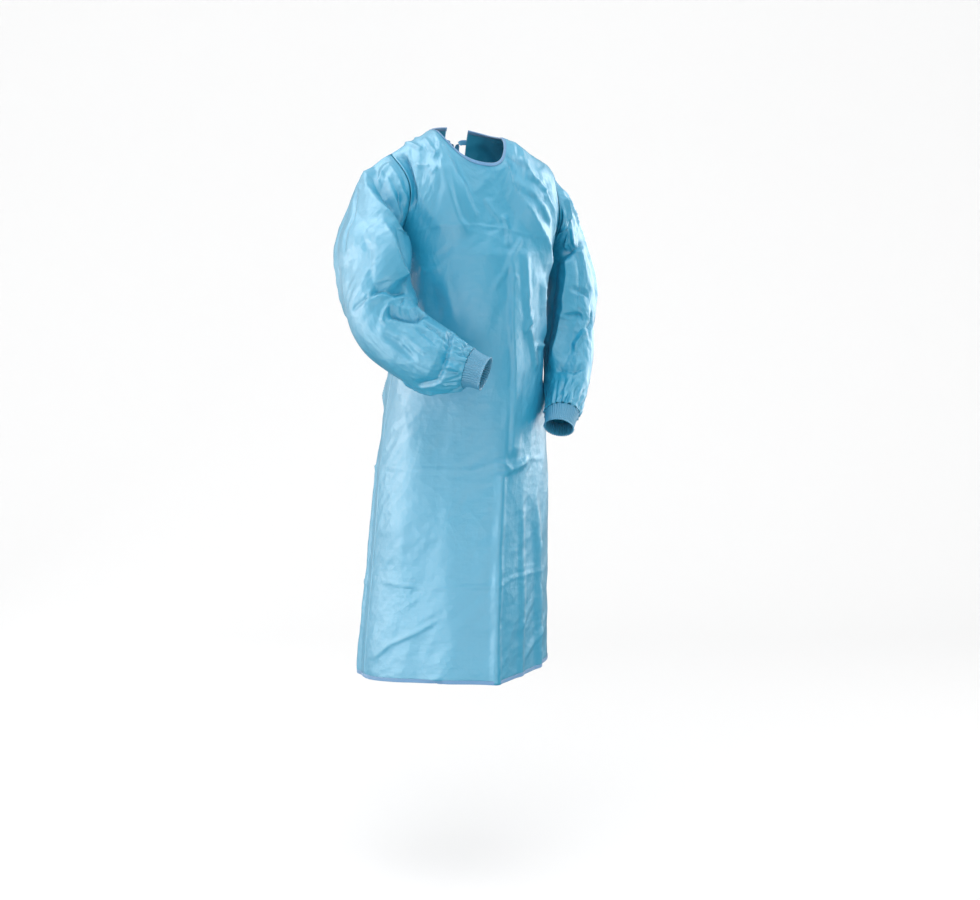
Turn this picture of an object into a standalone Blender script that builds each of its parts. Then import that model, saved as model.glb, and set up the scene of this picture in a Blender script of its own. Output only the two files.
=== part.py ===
"""Sleeved apron in its worn shape: open-backed cloth shell, set-in sleeves, bindings and back ties.

Metres, +Z up, the front faces -Y and the wearer's left is +X.
The origin is the middle of the neck opening at shoulder height, where the wearer's shoulders hold the apron.
Every cloth piece is a wall through sections worked out from the tables and sizes below.
"""
import math
from typing import Callable, NamedTuple

import bmesh
import bpy
from mathutils import Vector

# Cloth
WALL = 0.0015               # wall of every cloth panel
TAPE_WALL = 0.0010          # wall of binding and tie tape
GAP = 0.0003                # clearance between neighbouring pieces
ARMHOLE_GAP = 0.0008        # clearance between an armhole's edge and its sleeve

# Neck and shoulders
NECK_FRONT_REACH = 0.088
NECK_BACK_REACH = 0.070
NECK_FRONT_DROP = 0.057
NECK_BACK_RISE = 0.012
NECK_SHARE = 0.5            # share of each front half that is neckline, the rest is shoulder seam
BACK_NECK_SHARE = 4.0 / 9.0

# Armholes
FRONT_ARMHOLE_CUT = 0.39    # share of the quarter body that each armhole cuts away at its deepest
BACK_ARMHOLE_CUT = 0.30
ARMHOLE_WIDEN = 0.16        # how much wider the yoke is than the body below it
FAN_SHARE = 0.64            # share of the quarter body under the neckline's columns

# Shares of a panel over which its yoke turns from hanging straight to rounding over the shoulder
FRONT_ROUNDING = (0.1, 0.5)
BACK_ROUNDING = (-0.5, 0.5)
FAN_END_ROW = 1.5           # row at which the body's columns are even
SEAM_MARGIN = 0.2           # share of the front at its side seams that stays free of folds
YOKE_MARGIN = 0.4           # share of the yoke over which folds grow from nothing

# Sleeve caps: the direction in which a cap leaves its armhole, and how long it keeps it
CAP_LEAVING = Vector((0.45, -0.25, -0.75))
CAP_START_REACH = 0.45
CAP_END_REACH = 0.40
AIM_STEP = 0.03             # step in an arm table's places that a sleeve's direction is measured over
CAP_MARGIN = 0.15           # share of the cap over which folds grow from nothing
CUFF_MARGIN = 0.2           # share of the arm over which they end before the cuff

# Body
UNDERARM_Z = -0.215
HEM_Z = -1.022
HEM_SIDE_DROP = 0.014       # how much lower the hem hangs on the wearer's right side

# Mesh density: levels are shares of the height from the shoulder to the underarm and from there to the hem
YOKE_LEVELS = (0.0, 0.05, 0.17, 0.30, 0.44, 0.58, 0.72, 0.86, 1.0)
BODY_LEVELS = (0.0, 0.062, 0.124, 0.186, 0.248, 0.310, 0.372, 0.434, 0.496, 0.558, 0.620, 0.682, 0.744,
               0.806, 0.868, 0.930, 0.989, 1.0)
YOKE_ROWS = len(YOKE_LEVELS) - 1
BODY_ROWS = len(BODY_LEVELS) - 1
PANEL_ROWS = YOKE_ROWS + BODY_ROWS
FRONT_COLUMNS = 24
BACK_COLUMNS = 9
CAP_ROWS = 7
ARM_ROWS = 13
CUFF_ROWS = 2
SLEEVE_PARTS = (("upper", 0, 11), ("lower", 11, CAP_ROWS + ARM_ROWS))    # rows of a sleeve's two solids
TIE_ROWS = 18
KNOT_COLUMNS = 8

# Trim
NECK_BINDING_WIDTH = 0.008
SEAM_OFFSET = 0.0006        # how far front and back panels each stand off their seam line
BINDING_LIFT = 0.0015       # how far a binding stands off both faces of the cloth, clear of its facets
CUFF_CLEARANCE = 0.02       # share of the cuff's table step left between it and the sleeve
PART_CLEARANCE = 0.014      # share of a row left between a sleeve's two solids

# Finish
CLOTH_BLUE = (0.13, 0.42, 0.60)
BINDING_LILAC = (0.25, 0.38, 0.62)
CLOTH_ROUGHNESS = 0.5


class Shoulder(NamedTuple):
    """One shoulder: its two ends along the seam, and how its sleeve leaves it sideways and upwards."""
    neck_x: float
    neck_z: float
    tip_x: float
    tip_z: float
    cap_spread: float
    cap_rise: float


RIGHT_SHOULDER = Shoulder(0.074, 0.020, 0.162, -0.027, 0.40, 0.28)
LEFT_SHOULDER = Shoulder(0.062, 0.006, 0.162, -0.045, 0.08, -0.10)


class BodySection(NamedTuple):
    """One level of the body: reaches from the Z axis, crease sharpness and half the open back."""
    z: float
    right: float
    left: float
    front: float
    back: float
    middle: float
    crease: float
    open_half: float


BODY_SECTIONS = (
    BodySection(-0.215, 0.150, 0.160, 0.140, 0.116, 0.012, -0.10, 0.022),
    BodySection(-0.300, 0.148, 0.150, 0.149, 0.116, 0.016, -0.02, 0.026),
    BodySection(-0.370, 0.152, 0.141, 0.154, 0.118, 0.018, 0.05, 0.030),
    BodySection(-0.450, 0.163, 0.139, 0.162, 0.124, 0.014, 0.14, 0.036),
    BodySection(-0.530, 0.175, 0.147, 0.171, 0.130, 0.008, 0.22, 0.042),
    BodySection(-0.640, 0.188, 0.156, 0.182, 0.136, -0.002, 0.30, 0.050),
    BodySection(-0.800, 0.202, 0.158, 0.196, 0.143, -0.016, 0.38, 0.060),
    BodySection(-1.022, 0.222, 0.159, 0.210, 0.150, -0.031, 0.46, 0.072),
)


class ArmSection(NamedTuple):
    """One ring of a sleeve: its middle, four reaches and the direction that its outer side faces."""
    x: float
    y: float
    z: float
    outer: float
    inner: float
    front: float
    back: float
    out_x: float
    out_y: float
    out_z: float


# The first row only aims the sleeve: it is the middle of the armhole.
RIGHT_ARM = (
    ArmSection(-0.160, -0.012, -0.130, 0.060, 0.050, 0.060, 0.060, -1.0, 0.0, 0.0),
    ArmSection(-0.212, -0.034, -0.195, 0.062, 0.050, 0.080, 0.064, -1.0, 0.0, 0.0),
    ArmSection(-0.220, -0.062, -0.250, 0.062, 0.066, 0.090, 0.060, -1.0, 0.0, 0.0),
    ArmSection(-0.218, -0.090, -0.304, 0.064, 0.070, 0.080, 0.056, -0.9, 0.2, -0.3),
    ArmSection(-0.207, -0.123, -0.350, 0.066, 0.068, 0.066, 0.054, -0.6, 0.3, -0.7),
    ArmSection(-0.168, -0.164, -0.386, 0.066, 0.064, 0.060, 0.052, -0.2, 0.1, -1.0),
    ArmSection(-0.131, -0.196, -0.408, 0.062, 0.056, 0.056, 0.048, 0.0, 0.0, -1.0),
    ArmSection(-0.091, -0.227, -0.420, 0.038, 0.038, 0.038, 0.036, 0.0, 0.0, -1.0),
    ArmSection(-0.066, -0.245, -0.430, 0.033, 0.033, 0.033, 0.032, 0.0, 0.0, -1.0),
)
LEFT_ARM = (
    ArmSection(0.166, 0.006, -0.140, 0.060, 0.050, 0.060, 0.060, 1.0, 0.0, 0.0),
    ArmSection(0.201, 0.010, -0.200, 0.036, 0.036, 0.066, 0.064, 1.0, 0.0, 0.0),
    ArmSection(0.209, 0.006, -0.262, 0.046, 0.044, 0.072, 0.066, 1.0, 0.0, 0.0),
    ArmSection(0.207, -0.006, -0.326, 0.048, 0.046, 0.072, 0.064, 1.0, 0.0, 0.0),
    ArmSection(0.198, -0.026, -0.382, 0.042, 0.042, 0.066, 0.060, 1.0, 0.2, -0.1),
    ArmSection(0.181, -0.060, -0.432, 0.040, 0.036, 0.058, 0.054, 1.0, 0.4, -0.2),
    ArmSection(0.159, -0.100, -0.478, 0.038, 0.033, 0.050, 0.047, 1.0, 0.5, -0.2),
    ArmSection(0.134, -0.140, -0.520, 0.033, 0.031, 0.036, 0.036, 1.0, 0.5, -0.2),
    ArmSection(0.120, -0.158, -0.545, 0.030, 0.029, 0.031, 0.031, 1.0, 0.5, -0.2),
)


class Fold(NamedTuple):
    """A ridge (height above 0) or trough along a straight line, in a surface's two measures in metres."""
    start_a: float
    start_b: float
    end_a: float
    end_b: float
    height: float
    width: float


# Front folds: a is the distance from the middle towards the wearer's left, b the height
FRONT_FOLDS = (
    Fold(0.045, -0.060, 0.140, -0.260, 0.010, 0.020),
    Fold(0.075, -0.090, 0.150, -0.190, -0.006, 0.014),
    Fold(-0.105, -0.060, -0.060, -0.230, 0.007, 0.014),
    Fold(0.060, -0.260, 0.072, -0.430, 0.008, 0.011),
    Fold(-0.100, -0.200, -0.030, -0.330, -0.008, 0.022),
    Fold(0.085, -0.560, 0.105, -1.020, 0.008, 0.016),
    Fold(-0.150, -0.520, -0.175, -1.020, 0.009, 0.022),
)
# Sleeve folds: a is the distance round from the outer side over the front, b the distance down the sleeve
RIGHT_SLEEVE_FOLDS = (
    Fold(0.050, 0.012, 0.185, 0.052, -0.020, 0.014),
    Fold(0.030, 0.045, 0.190, 0.130, 0.010, 0.012),
    Fold(0.070, 0.080, 0.120, 0.240, 0.008, 0.014),
    Fold(0.120, 0.255, 0.230, 0.235, -0.012, 0.013),
    Fold(0.100, 0.290, 0.240, 0.270, 0.008, 0.013),
    Fold(0.330, 0.060, 0.380, 0.200, 0.009, 0.015),
)
LEFT_SLEEVE_FOLDS = (
    Fold(0.030, 0.070, 0.130, 0.095, -0.008, 0.012),
    Fold(0.100, 0.020, 0.120, 0.130, -0.010, 0.014),
    Fold(0.020, 0.135, 0.110, 0.130, 0.006, 0.012),
    Fold(0.060, 0.240, 0.200, 0.225, -0.010, 0.013),
    Fold(0.330, 0.060, 0.370, 0.200, 0.008, 0.015),
)
FOLD_END = 0.15             # share of a half wave that a fold's height starts and ends at
CAP_LENGTH = 0.10           # nominal lengths and girth that the sleeve folds are measured with
ARM_LENGTH = 0.30
SLEEVE_GIRTH = 0.42


def smooth_step(value: float, low: float, high: float) -> float:
    """A value's smooth share of the way from low to high."""
    share = min(1.0, max(0.0, (value - low) / (high - low)))
    return share * share * (3.0 - 2.0 * share)


def mix(first: float, second: float, share: float) -> float:
    """The number that lies the given share of the way between two numbers."""
    return first + (second - first) * share


def spline_row(rows: tuple, place: float) -> tuple:
    """A table's row at a fractional place, on a Catmull-Rom curve through its rows."""
    index = min(int(place), len(rows) - 2)
    share = place - index
    before = rows[max(index - 1, 0)]
    first, second = rows[index], rows[index + 1]
    after = rows[min(index + 2, len(rows) - 1)]
    values = []
    for a, b, c, d in zip(before, first, second, after):
        values.append(0.5 * (2.0 * b + (c - a) * share + (2.0 * a - 5.0 * b + 4.0 * c - d) * share ** 2
                             + (3.0 * b - a - 3.0 * c + d) * share ** 3))
    return type(first)(*values)


def fold_height(folds: tuple, a: float, b: float) -> float:
    """How far the folds move a surface outwards at a place."""
    total = 0.0
    for fold in folds:
        run_a, run_b = fold.end_a - fold.start_a, fold.end_b - fold.start_b
        share = ((a - fold.start_a) * run_a + (b - fold.start_b) * run_b) / (run_a ** 2 + run_b ** 2)
        share = min(1.0, max(0.0, share))
        away = math.hypot(a - fold.start_a - share * run_a, b - fold.start_b - share * run_b)
        taper = math.sin(math.pi * mix(FOLD_END, 1.0 - FOLD_END, share))
        total += fold.height * taper * math.exp(-(away / fold.width) ** 2)
    return total


def body_section(z: float) -> BodySection:
    """The body's section at a height."""
    rows = BODY_SECTIONS
    for index in range(len(rows) - 1):
        upper, lower = rows[index], rows[index + 1]
        if z >= lower.z or index == len(rows) - 2:
            return spline_row(rows, index + min(1.0, max(0.0, (upper.z - z) / (upper.z - lower.z))))
    return rows[-1]


def body_point(angle: float, z: float) -> Vector:
    """The body's outer surface, at an angle from the centre front towards the wearer's left."""
    section = body_section(z)
    across, along = math.sin(angle), math.cos(angle)
    half = section.left - section.middle if across > 0.0 else section.right + section.middle
    depth = section.front * (1.0 - section.crease * abs(across)) if along > 0.0 else section.back
    return Vector((section.middle + half * across, -depth * along, z))


def shoulder_of(side: int) -> Shoulder:
    """The shoulder on the wearer's right (-1) or left (1)."""
    return LEFT_SHOULDER if side > 0 else RIGHT_SHOULDER


def top_point(side: int, share: float, neck_share: float, reach: float, drop: float) -> Vector:
    """The upper edge of a panel: its neckline, then its shoulder seam, from the middle out to the tip."""
    shoulder, other = shoulder_of(side), shoulder_of(-side)
    if share <= neck_share:
        angle = 0.5 * math.pi * share / neck_share
        x = shoulder.neck_x * math.sin(angle)
        level = mix(other.neck_z, shoulder.neck_z, (other.neck_x + x) / (other.neck_x + shoulder.neck_x))
        return Vector((side * x, -reach * math.cos(angle), level - drop * math.cos(angle) ** 2))
    out = (share - neck_share) / (1.0 - neck_share)
    x = side * mix(shoulder.neck_x, shoulder.tip_x, out)
    return Vector((x, 0.0, mix(shoulder.neck_z, shoulder.tip_z, out)))


def yoke_point(top: Vector, low: Vector, row: float, roundness: float) -> Vector:
    """A point between the upper edge and the underarm level, rounded over the shoulder."""
    quarter = 0.5 * math.pi * row
    forward = mix(row, math.sin(quarter), roundness)
    down = mix(row, 1.0 - math.cos(quarter), roundness)
    wide = 1.0 + ARMHOLE_WIDEN * math.sin(math.pi * row) * roundness
    return Vector((mix(top.x, low.x * wide, forward), mix(top.y, low.y, forward), mix(top.z, low.z, down)))


def fanned(share: float, neck_share: float, row: float) -> float:
    """A column's share of its quarter of the body: fanned out at the underarm, even further down."""
    if share < neck_share:
        fan = FAN_SHARE * share / neck_share
    else:
        fan = mix(FAN_SHARE, 1.0, (share - neck_share) / (1.0 - neck_share))
    return mix(fan, share, smooth_step(row, 1.0, FAN_END_ROW))


def body_level(angle: float, row: float) -> float:
    """Height of the body's rows: 1 at the underarm, 2 at the hem."""
    drop = HEM_SIDE_DROP * max(0.0, -math.sin(angle)) ** 2
    return mix(UNDERARM_Z, HEM_Z - drop, row - 1.0)


def front_point(share: float, row: float) -> Vector:
    """Front panel: share runs from -1 at the right seam to 1 at the left, row from 0 at the top to 2."""
    side = 1 if share >= 0.0 else -1
    angle = side * 0.5 * math.pi * fanned(abs(share), NECK_SHARE, row)
    if row >= 1.0:
        point = body_point(angle, body_level(angle, row))
    else:
        angle *= 1.0 - FRONT_ARMHOLE_CUT * math.sin(math.pi * row)
        top = top_point(side, abs(share), NECK_SHARE, NECK_FRONT_REACH, NECK_FRONT_DROP)
        point = yoke_point(top, body_point(angle, UNDERARM_Z), row,
                           smooth_step(abs(share), *FRONT_ROUNDING))
    inset = smooth_step(1.0 - abs(share), 0.0, SEAM_MARGIN) * smooth_step(row, 0.0, YOKE_MARGIN)
    lift = inset * fold_height(FRONT_FOLDS, point.x, point.z)
    return point + Vector((math.sin(angle), -math.cos(angle), 0.0)) * lift


def back_point(side: int, share: float, row: float) -> Vector:
    """Back panel: share runs from the open edge to the side seam, row from 0 at the top to 2 at the hem."""
    section = body_section(mix(UNDERARM_Z, HEM_Z, max(0.0, row - 1.0)))
    half = section.left - section.middle if side > 0 else section.right + section.middle
    open_angle = math.asin((section.open_half - side * section.middle) / half)
    turn = mix(open_angle, 0.5 * math.pi, fanned(share, BACK_NECK_SHARE, row))
    if row >= 1.0:
        angle = side * (math.pi - turn)
        return body_point(angle, body_level(angle, row))
    turn *= 1.0 - BACK_ARMHOLE_CUT * math.sin(math.pi * row) * smooth_step(share, 0.0, 1.0)
    neck_turn = math.asin(BODY_SECTIONS[0].open_half / shoulder_of(side).neck_x)
    open_share = BACK_NECK_SHARE * neck_turn / (0.5 * math.pi)
    top_share = share
    if share < BACK_NECK_SHARE:
        top_share = mix(open_share, BACK_NECK_SHARE, share / BACK_NECK_SHARE)
    top = top_point(side, top_share, BACK_NECK_SHARE, -NECK_BACK_REACH, -NECK_BACK_RISE)
    low = body_point(side * (math.pi - turn), UNDERARM_Z)
    return yoke_point(top, low, row, smooth_step(share, *BACK_ROUNDING))


def armhole_point(side: int, angle: float) -> Vector:
    """Armhole edge, from the shoulder tip (0) down the front to the underarm (pi) and up the back."""
    if angle <= math.pi:
        return front_point(side, angle / math.pi)
    return back_point(side, 1.0, 2.0 - angle / math.pi)


def arm_ring(rows: tuple, side: int, place: float, angle: float) -> Vector:
    """A sleeve's outer surface: place runs down the table's rows, angle goes round from the outer side."""
    row = spline_row(rows, place)
    middle = Vector(row[:3])
    ahead = Vector(spline_row(rows, min(place + AIM_STEP, len(rows) - 1.0))[:3])
    behind = Vector(spline_row(rows, max(place - AIM_STEP, 0.0))[:3])
    along = (ahead - behind).normalized()
    facing = Vector((row.out_x, row.out_y, row.out_z))
    outward = (facing - along * facing.dot(along)).normalized()
    forward = side * along.cross(outward)
    across, depth = math.cos(angle), math.sin(angle)
    outward_reach = row.outer if across > 0.0 else row.inner
    forward_reach = row.front if depth > 0.0 else row.back
    return middle + outward * outward_reach * across + forward * forward_reach * depth


def bezier(a: Vector, b: Vector, c: Vector, d: Vector, share: float) -> Vector:
    """A point on a cubic Bezier curve."""
    rest = 1.0 - share
    return a * rest ** 3 + b * 3.0 * rest ** 2 * share + c * 3.0 * rest * share ** 2 + d * share ** 3


def cap_point(rows: tuple, side: int, share: float, angle: float) -> Vector:
    """The sleeve's cap, from the armhole (share 0) to the table's second row (share 1)."""
    lift = 0.5 + 0.5 * math.cos(angle)
    forward = math.sin(angle)
    shoulder = shoulder_of(side)
    leaving = Vector((side * (CAP_LEAVING.x + shoulder.cap_spread * lift), CAP_LEAVING.y * forward,
                      CAP_LEAVING.z + shoulder.cap_rise * lift)).normalized()
    start = armhole_point(side, angle) + Vector((side * ARMHOLE_GAP, 0.0, 0.0))
    end = arm_ring(rows, side, 1.0, angle)
    beyond = arm_ring(rows, side, 1.0 + AIM_STEP, angle)
    arriving = (beyond - arm_ring(rows, side, 1.0 - AIM_STEP, angle)).normalized()
    reach = (end - start).length
    return bezier(start, start + leaving * reach * CAP_START_REACH,
                  end - arriving * reach * CAP_END_REACH, end, share)


def sleeve_middle(rows: tuple, row: float) -> Vector:
    """The middle of a sleeve, at row 0 in the armhole to 1 below the cap to 2 at the cuff."""
    place = row if row <= 1.0 else mix(1.0, len(rows) - 2.0, row - 1.0)
    return Vector(spline_row(rows, place)[:3])


def sleeve_point(rows: tuple, side: int, around: float, row: float) -> Vector:
    """Sleeve: around runs from 0 to 1, row from 0 at the armhole to 1 below the cap to 2 at the cuff."""
    angle = 2.0 * math.pi * around
    place = mix(1.0, len(rows) - 2.0, max(0.0, row - 1.0))
    point = cap_point(rows, side, row, angle) if row <= 1.0 else arm_ring(rows, side, place, angle)
    middle = sleeve_middle(rows, row)
    down = CAP_LENGTH * min(row, 1.0) + ARM_LENGTH * max(0.0, row - 1.0)
    folds = RIGHT_SLEEVE_FOLDS if side < 0 else LEFT_SLEEVE_FOLDS
    lift = fold_height(folds, around * SLEEVE_GIRTH, down) * smooth_step(row, 0.0, CAP_MARGIN)
    return point + (point - middle).normalized() * lift * smooth_step(2.0 - row, 0.0, CUFF_MARGIN)


def cuff_point(rows: tuple, side: int, around: float, row: float) -> Vector:
    """Cuff: around runs from 0 to 1, row from 0 at the sleeve's end to 1 at the wrist."""
    end = len(rows) - 1.0
    start = end - 1.0 + CUFF_CLEARANCE
    return arm_ring(rows, side, mix(start, end, row), 2.0 * math.pi * around)


class BindingCorner(NamedTuple):
    """A corner of a binding's folded section: the point it follows and its distances out of it."""
    follows: str
    out_of_cloth: float
    out_of_edge: float


BINDING_SECTION = (
    BindingCorner("inside", BINDING_LIFT + TAPE_WALL, 0.0),
    BindingCorner("edge", BINDING_LIFT + TAPE_WALL, GAP + TAPE_WALL),
    BindingCorner("edge", -WALL - BINDING_LIFT - TAPE_WALL, GAP + TAPE_WALL),
    BindingCorner("inside", -WALL - BINDING_LIFT - TAPE_WALL, 0.0),
    BindingCorner("inside", -WALL - BINDING_LIFT, 0.0),
    BindingCorner("edge", -WALL - BINDING_LIFT, GAP),
    BindingCorner("edge", BINDING_LIFT, GAP),
    BindingCorner("inside", BINDING_LIFT, 0.0),
)


class Station(NamedTuple):
    """A place along a bound edge: the edge, the cloth inside it and the outward side of both."""
    edge: Vector
    edge_normal: Vector
    inside: Vector
    inside_normal: Vector


def panel_stations(panel: bpy.types.Mesh, columns: int, edge_row: int, inside_row: int) -> list:
    """The stations at a panel's columns, between two of its rows."""
    stations = []
    for column in range(columns + 1):
        edge, inside = (panel.vertices[(PANEL_ROWS - row) * (columns + 1) + column]
                        for row in (edge_row, inside_row))
        stations.append(Station(edge.co.copy(), edge.normal.copy(), inside.co.copy(), inside.normal.copy()))
    return stations


def shoulder_station(front: Station, front_next: Station, back: Station, back_next: Station) -> Station:
    """The station where the neckline crosses the shoulder seam; next is one column along the seam."""
    edge = (front.edge + back.edge) / 2.0
    normal = (front.edge_normal + back.edge_normal).normalized()
    along_seam = ((front_next.edge + back_next.edge) / 2.0 - edge).normalized()
    return Station(edge, normal, edge + along_seam * NECK_BINDING_WIDTH, normal)


def neck_stations(front: bpy.types.Mesh, backs: list) -> list:
    """Stations along the neckline, from the right back edge round the front to the left back edge."""
    front_start = round(FRONT_COLUMNS * (1.0 - NECK_SHARE) / 2.0)
    front_end = FRONT_COLUMNS - front_start
    back_end = round(BACK_COLUMNS * BACK_NECK_SHARE)
    across = panel_stations(front, FRONT_COLUMNS, 0, 1)
    right, left = (panel_stations(back, BACK_COLUMNS, 0, 1) for back in backs)
    right_seam = shoulder_station(across[front_start], across[front_start - 1],
                                  right[back_end], right[back_end + 1])
    left_seam = shoulder_station(across[front_end], across[front_end + 1],
                                 left[back_end], left[back_end + 1])
    return (right[:back_end + 1] + [right_seam] + across[front_start:front_end + 1] + [left_seam]
            + left[back_end::-1])


def hem_stations(front: bpy.types.Mesh, backs: list) -> list:
    """Stations along the hem, from the right back edge round the front to the left back edge."""
    across = panel_stations(front, FRONT_COLUMNS, PANEL_ROWS, PANEL_ROWS - 1)
    right, left = (panel_stations(back, BACK_COLUMNS, PANEL_ROWS, PANEL_ROWS - 1) for back in backs)
    return right + across + left[::-1]


def binding_mesh(name: str, stations: list) -> bpy.types.Mesh:
    """A tape folded over the panels' edge, with one section at each station."""
    last = len(stations) - 1

    def place(across: float, down: float) -> Vector:
        index = round(down * last)
        station = stations[index]
        corner = BINDING_SECTION[round(across * len(BINDING_SECTION)) % len(BINDING_SECTION)]
        if corner.follows == "inside":
            return station.inside + station.inside_normal * corner.out_of_cloth
        along = stations[min(index + 1, last)].edge - stations[max(index - 1, 0)].edge
        outward = station.edge_normal.cross(along).normalized()
        if outward.dot(station.edge - station.inside) < 0.0:
            outward.negate()
        return station.edge + station.edge_normal * corner.out_of_cloth + outward * corner.out_of_edge

    mesh = surface_mesh(name, len(BINDING_SECTION), last, place, True)
    tape = bmesh.new()
    tape.from_mesh(mesh)
    ends = [side for side in tape.edges if side.is_boundary]
    caps = bmesh.ops.holes_fill(tape, edges=ends, sides=len(BINDING_SECTION))["faces"]
    bmesh.ops.triangulate(tape, faces=caps)
    bmesh.ops.recalc_face_normals(tape, faces=tape.faces)
    tape.to_mesh(mesh)
    tape.free()
    return mesh


class Tie(NamedTuple):
    """A pair of tie tapes: width, height, where each leaves its panel and how long its tail hangs."""
    name: str
    width: float
    z: float
    start: float
    tail: float


TIES = (
    Tie("neck_tie", 0.010, -0.002, 0.040, 0.130),
    Tie("waist_tie", 0.016, -0.405, 0.075, 0.250),
)
TIE_TURN = 0.012            # radius at which a tie turns down at the centre back
TIE_STANDOFF = 0.0026       # how far the ties lie outside the back
TIE_SPREAD = 0.10           # how far the tails part for each metre they hang
KNOT_HEIGHT = 0.010
KNOT_DEPTH = 0.0042         # half the depth of a knot
KNOT_MARGIN = 0.004         # how far a knot reaches past the tapes in it, and lies below their turn
KNOT_ROUNDNESS = 0.6        # power that squares off a knot's oval section
HALVINGS = 20               # steps of the search for an open edge's depth


def edge_depth(side: int, z: float) -> float:
    """How far back a back panel's open edge lies at a height."""
    if z <= UNDERARM_Z:
        return back_point(side, 0.0, 1.0 + (z - UNDERARM_Z) / (HEM_Z - UNDERARM_Z)).y
    low, high = 0.0, 1.0
    for _ in range(HALVINGS):
        middle = 0.5 * (low + high)
        if back_point(side, 0.0, middle).z > z:
            low = middle
        else:
            high = middle
    return back_point(side, 0.0, low).y


def back_depth(z: float) -> float:
    """How far back the ties hang at a height, clear of both open edges."""
    return max(edge_depth(-1, z), edge_depth(1, z))


def tie_point(tie: Tie, side: int, across: float, down: float) -> Vector:
    """A tie: across its width, and down from its panel to the centre back and along its tail."""
    centre = 0.5 * tie.width + GAP
    run = tie.start - centre - TIE_TURN
    turn = 0.5 * math.pi * TIE_TURN
    length = down * (run + turn + tie.tail)
    offset = (0.5 - across) * tie.width
    if length <= run:
        x, z = tie.start - length, tie.z + offset
    elif length <= run + turn:
        angle = (length - run) / TIE_TURN
        x = centre + TIE_TURN - (TIE_TURN + offset) * math.sin(angle)
        z = tie.z - TIE_TURN + (TIE_TURN + offset) * math.cos(angle)
    else:
        hang = length - run - turn
        x, z = centre + hang * TIE_SPREAD - offset, tie.z - TIE_TURN - hang
    return Vector((side * x, back_depth(z) + TIE_STANDOFF, z))


def knot_point(tie: Tie, around: float, row: float) -> Vector:
    """The small band of tape that holds a pair of ties together."""
    angle = 2.0 * math.pi * around
    across, depth = math.cos(angle), math.sin(angle)
    z = tie.z - TIE_TURN - KNOT_MARGIN - row * KNOT_HEIGHT
    x = (tie.width + KNOT_MARGIN) * math.copysign(abs(across) ** KNOT_ROUNDNESS, across)
    y = KNOT_DEPTH * math.copysign(abs(depth) ** KNOT_ROUNDNESS, depth)
    return Vector((x, back_depth(z) + TIE_STANDOFF + y, z))


def surface_mesh(name: str, columns: int, rows: int, place: Callable, closed: bool) -> bpy.types.Mesh:
    """A grid whose point (share across, share down) lies where place puts it; closed joins its sides."""
    grid = bmesh.new()
    bmesh.ops.create_grid(grid, x_segments=columns, y_segments=rows, size=0.5)
    for vertex in grid.verts:
        across = round((vertex.co.x + 0.5) * columns) / columns
        down = round((0.5 - vertex.co.y) * rows) / rows
        vertex.co = place(0.0 if closed and across == 1.0 else across, down)
    bmesh.ops.remove_doubles(grid, verts=grid.verts, dist=1e-6)
    mesh = bpy.data.meshes.new(name)
    grid.to_mesh(mesh)
    grid.free()
    return mesh


def make_material(name: str, colour: tuple, roughness: float) -> bpy.types.Material:
    """A plain Principled material."""
    material = bpy.data.materials.new(name)
    material.use_nodes = True
    shader = material.node_tree.nodes["Principled BSDF"]
    shader.inputs["Base Color"].default_value = (*colour, 1.0)
    shader.inputs["Roughness"].default_value = roughness
    shader.inputs["Metallic"].default_value = 0.0
    return material


def add_object(name: str, mesh: bpy.types.Mesh, colour: tuple) -> bpy.types.Object:
    """An object in the scene with a material of its own."""
    mesh.materials.append(make_material(name, colour, CLOTH_ROUGHNESS))
    mesh.shade_smooth()
    piece = bpy.data.objects.new(name, mesh)
    bpy.context.collection.objects.link(piece)
    return piece


def add_wall(piece: bpy.types.Object, inside: Vector, thickness: float) -> None:
    """Give a sheet its wall, inwards from its outer face; inside is a point behind its first face."""
    face = piece.data.polygons[0]
    if face.normal.dot(face.center - inside) < 0.0:
        piece.data.flip_normals()
    wall = piece.modifiers.new("wall", "SOLIDIFY")
    wall.thickness = thickness
    wall.offset = -1.0
    wall.use_even_offset = False


def panel_row(down: float) -> float:
    """A share down a panel's grid as rows 0 to 1 over its yoke and 1 to 2 over its body."""
    index = round(down * PANEL_ROWS)
    return YOKE_LEVELS[index] if index <= YOKE_ROWS else 1.0 + BODY_LEVELS[index - YOKE_ROWS]


def sleeve_row(line: float) -> float:
    """A line of a sleeve's grid as rows 0 to 1 over its cap and 1 to 2 over its arm."""
    return line / CAP_ROWS if line <= CAP_ROWS else 1.0 + (line - CAP_ROWS) / ARM_ROWS


def sleeve_turn(across: float) -> float:
    """A share across a sleeve's grid as a share of the way round, with columns at the panels' rows."""
    index = round(across * 2 * YOKE_ROWS)
    return YOKE_LEVELS[index] / 2.0 if index <= YOKE_ROWS else 1.0 - YOKE_LEVELS[2 * YOKE_ROWS - index] / 2.0


def build_panels() -> tuple:
    """The front panel and the two back panels; gives their meshes for what lies on them."""
    seam = Vector((0.0, SEAM_OFFSET, 0.0))
    behind = Vector((0.0, 0.0, UNDERARM_Z))

    def front(across: float, down: float) -> Vector:
        return front_point(2.0 * across - 1.0, panel_row(down)) - seam

    front_mesh = surface_mesh("front_panel", FRONT_COLUMNS, PANEL_ROWS, front, False)
    add_wall(add_object("front_panel", front_mesh, CLOTH_BLUE), behind, WALL)
    backs = []
    for side, name in ((-1, "back_panel_right"), (1, "back_panel_left")):
        def back(across: float, down: float, side: int = side) -> Vector:
            return back_point(side, across, panel_row(down)) + seam

        mesh = surface_mesh(name, BACK_COLUMNS, PANEL_ROWS, back, False)
        add_wall(add_object(name, mesh, CLOTH_BLUE), behind, WALL)
        backs.append(mesh)
    return front_mesh, backs


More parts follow.
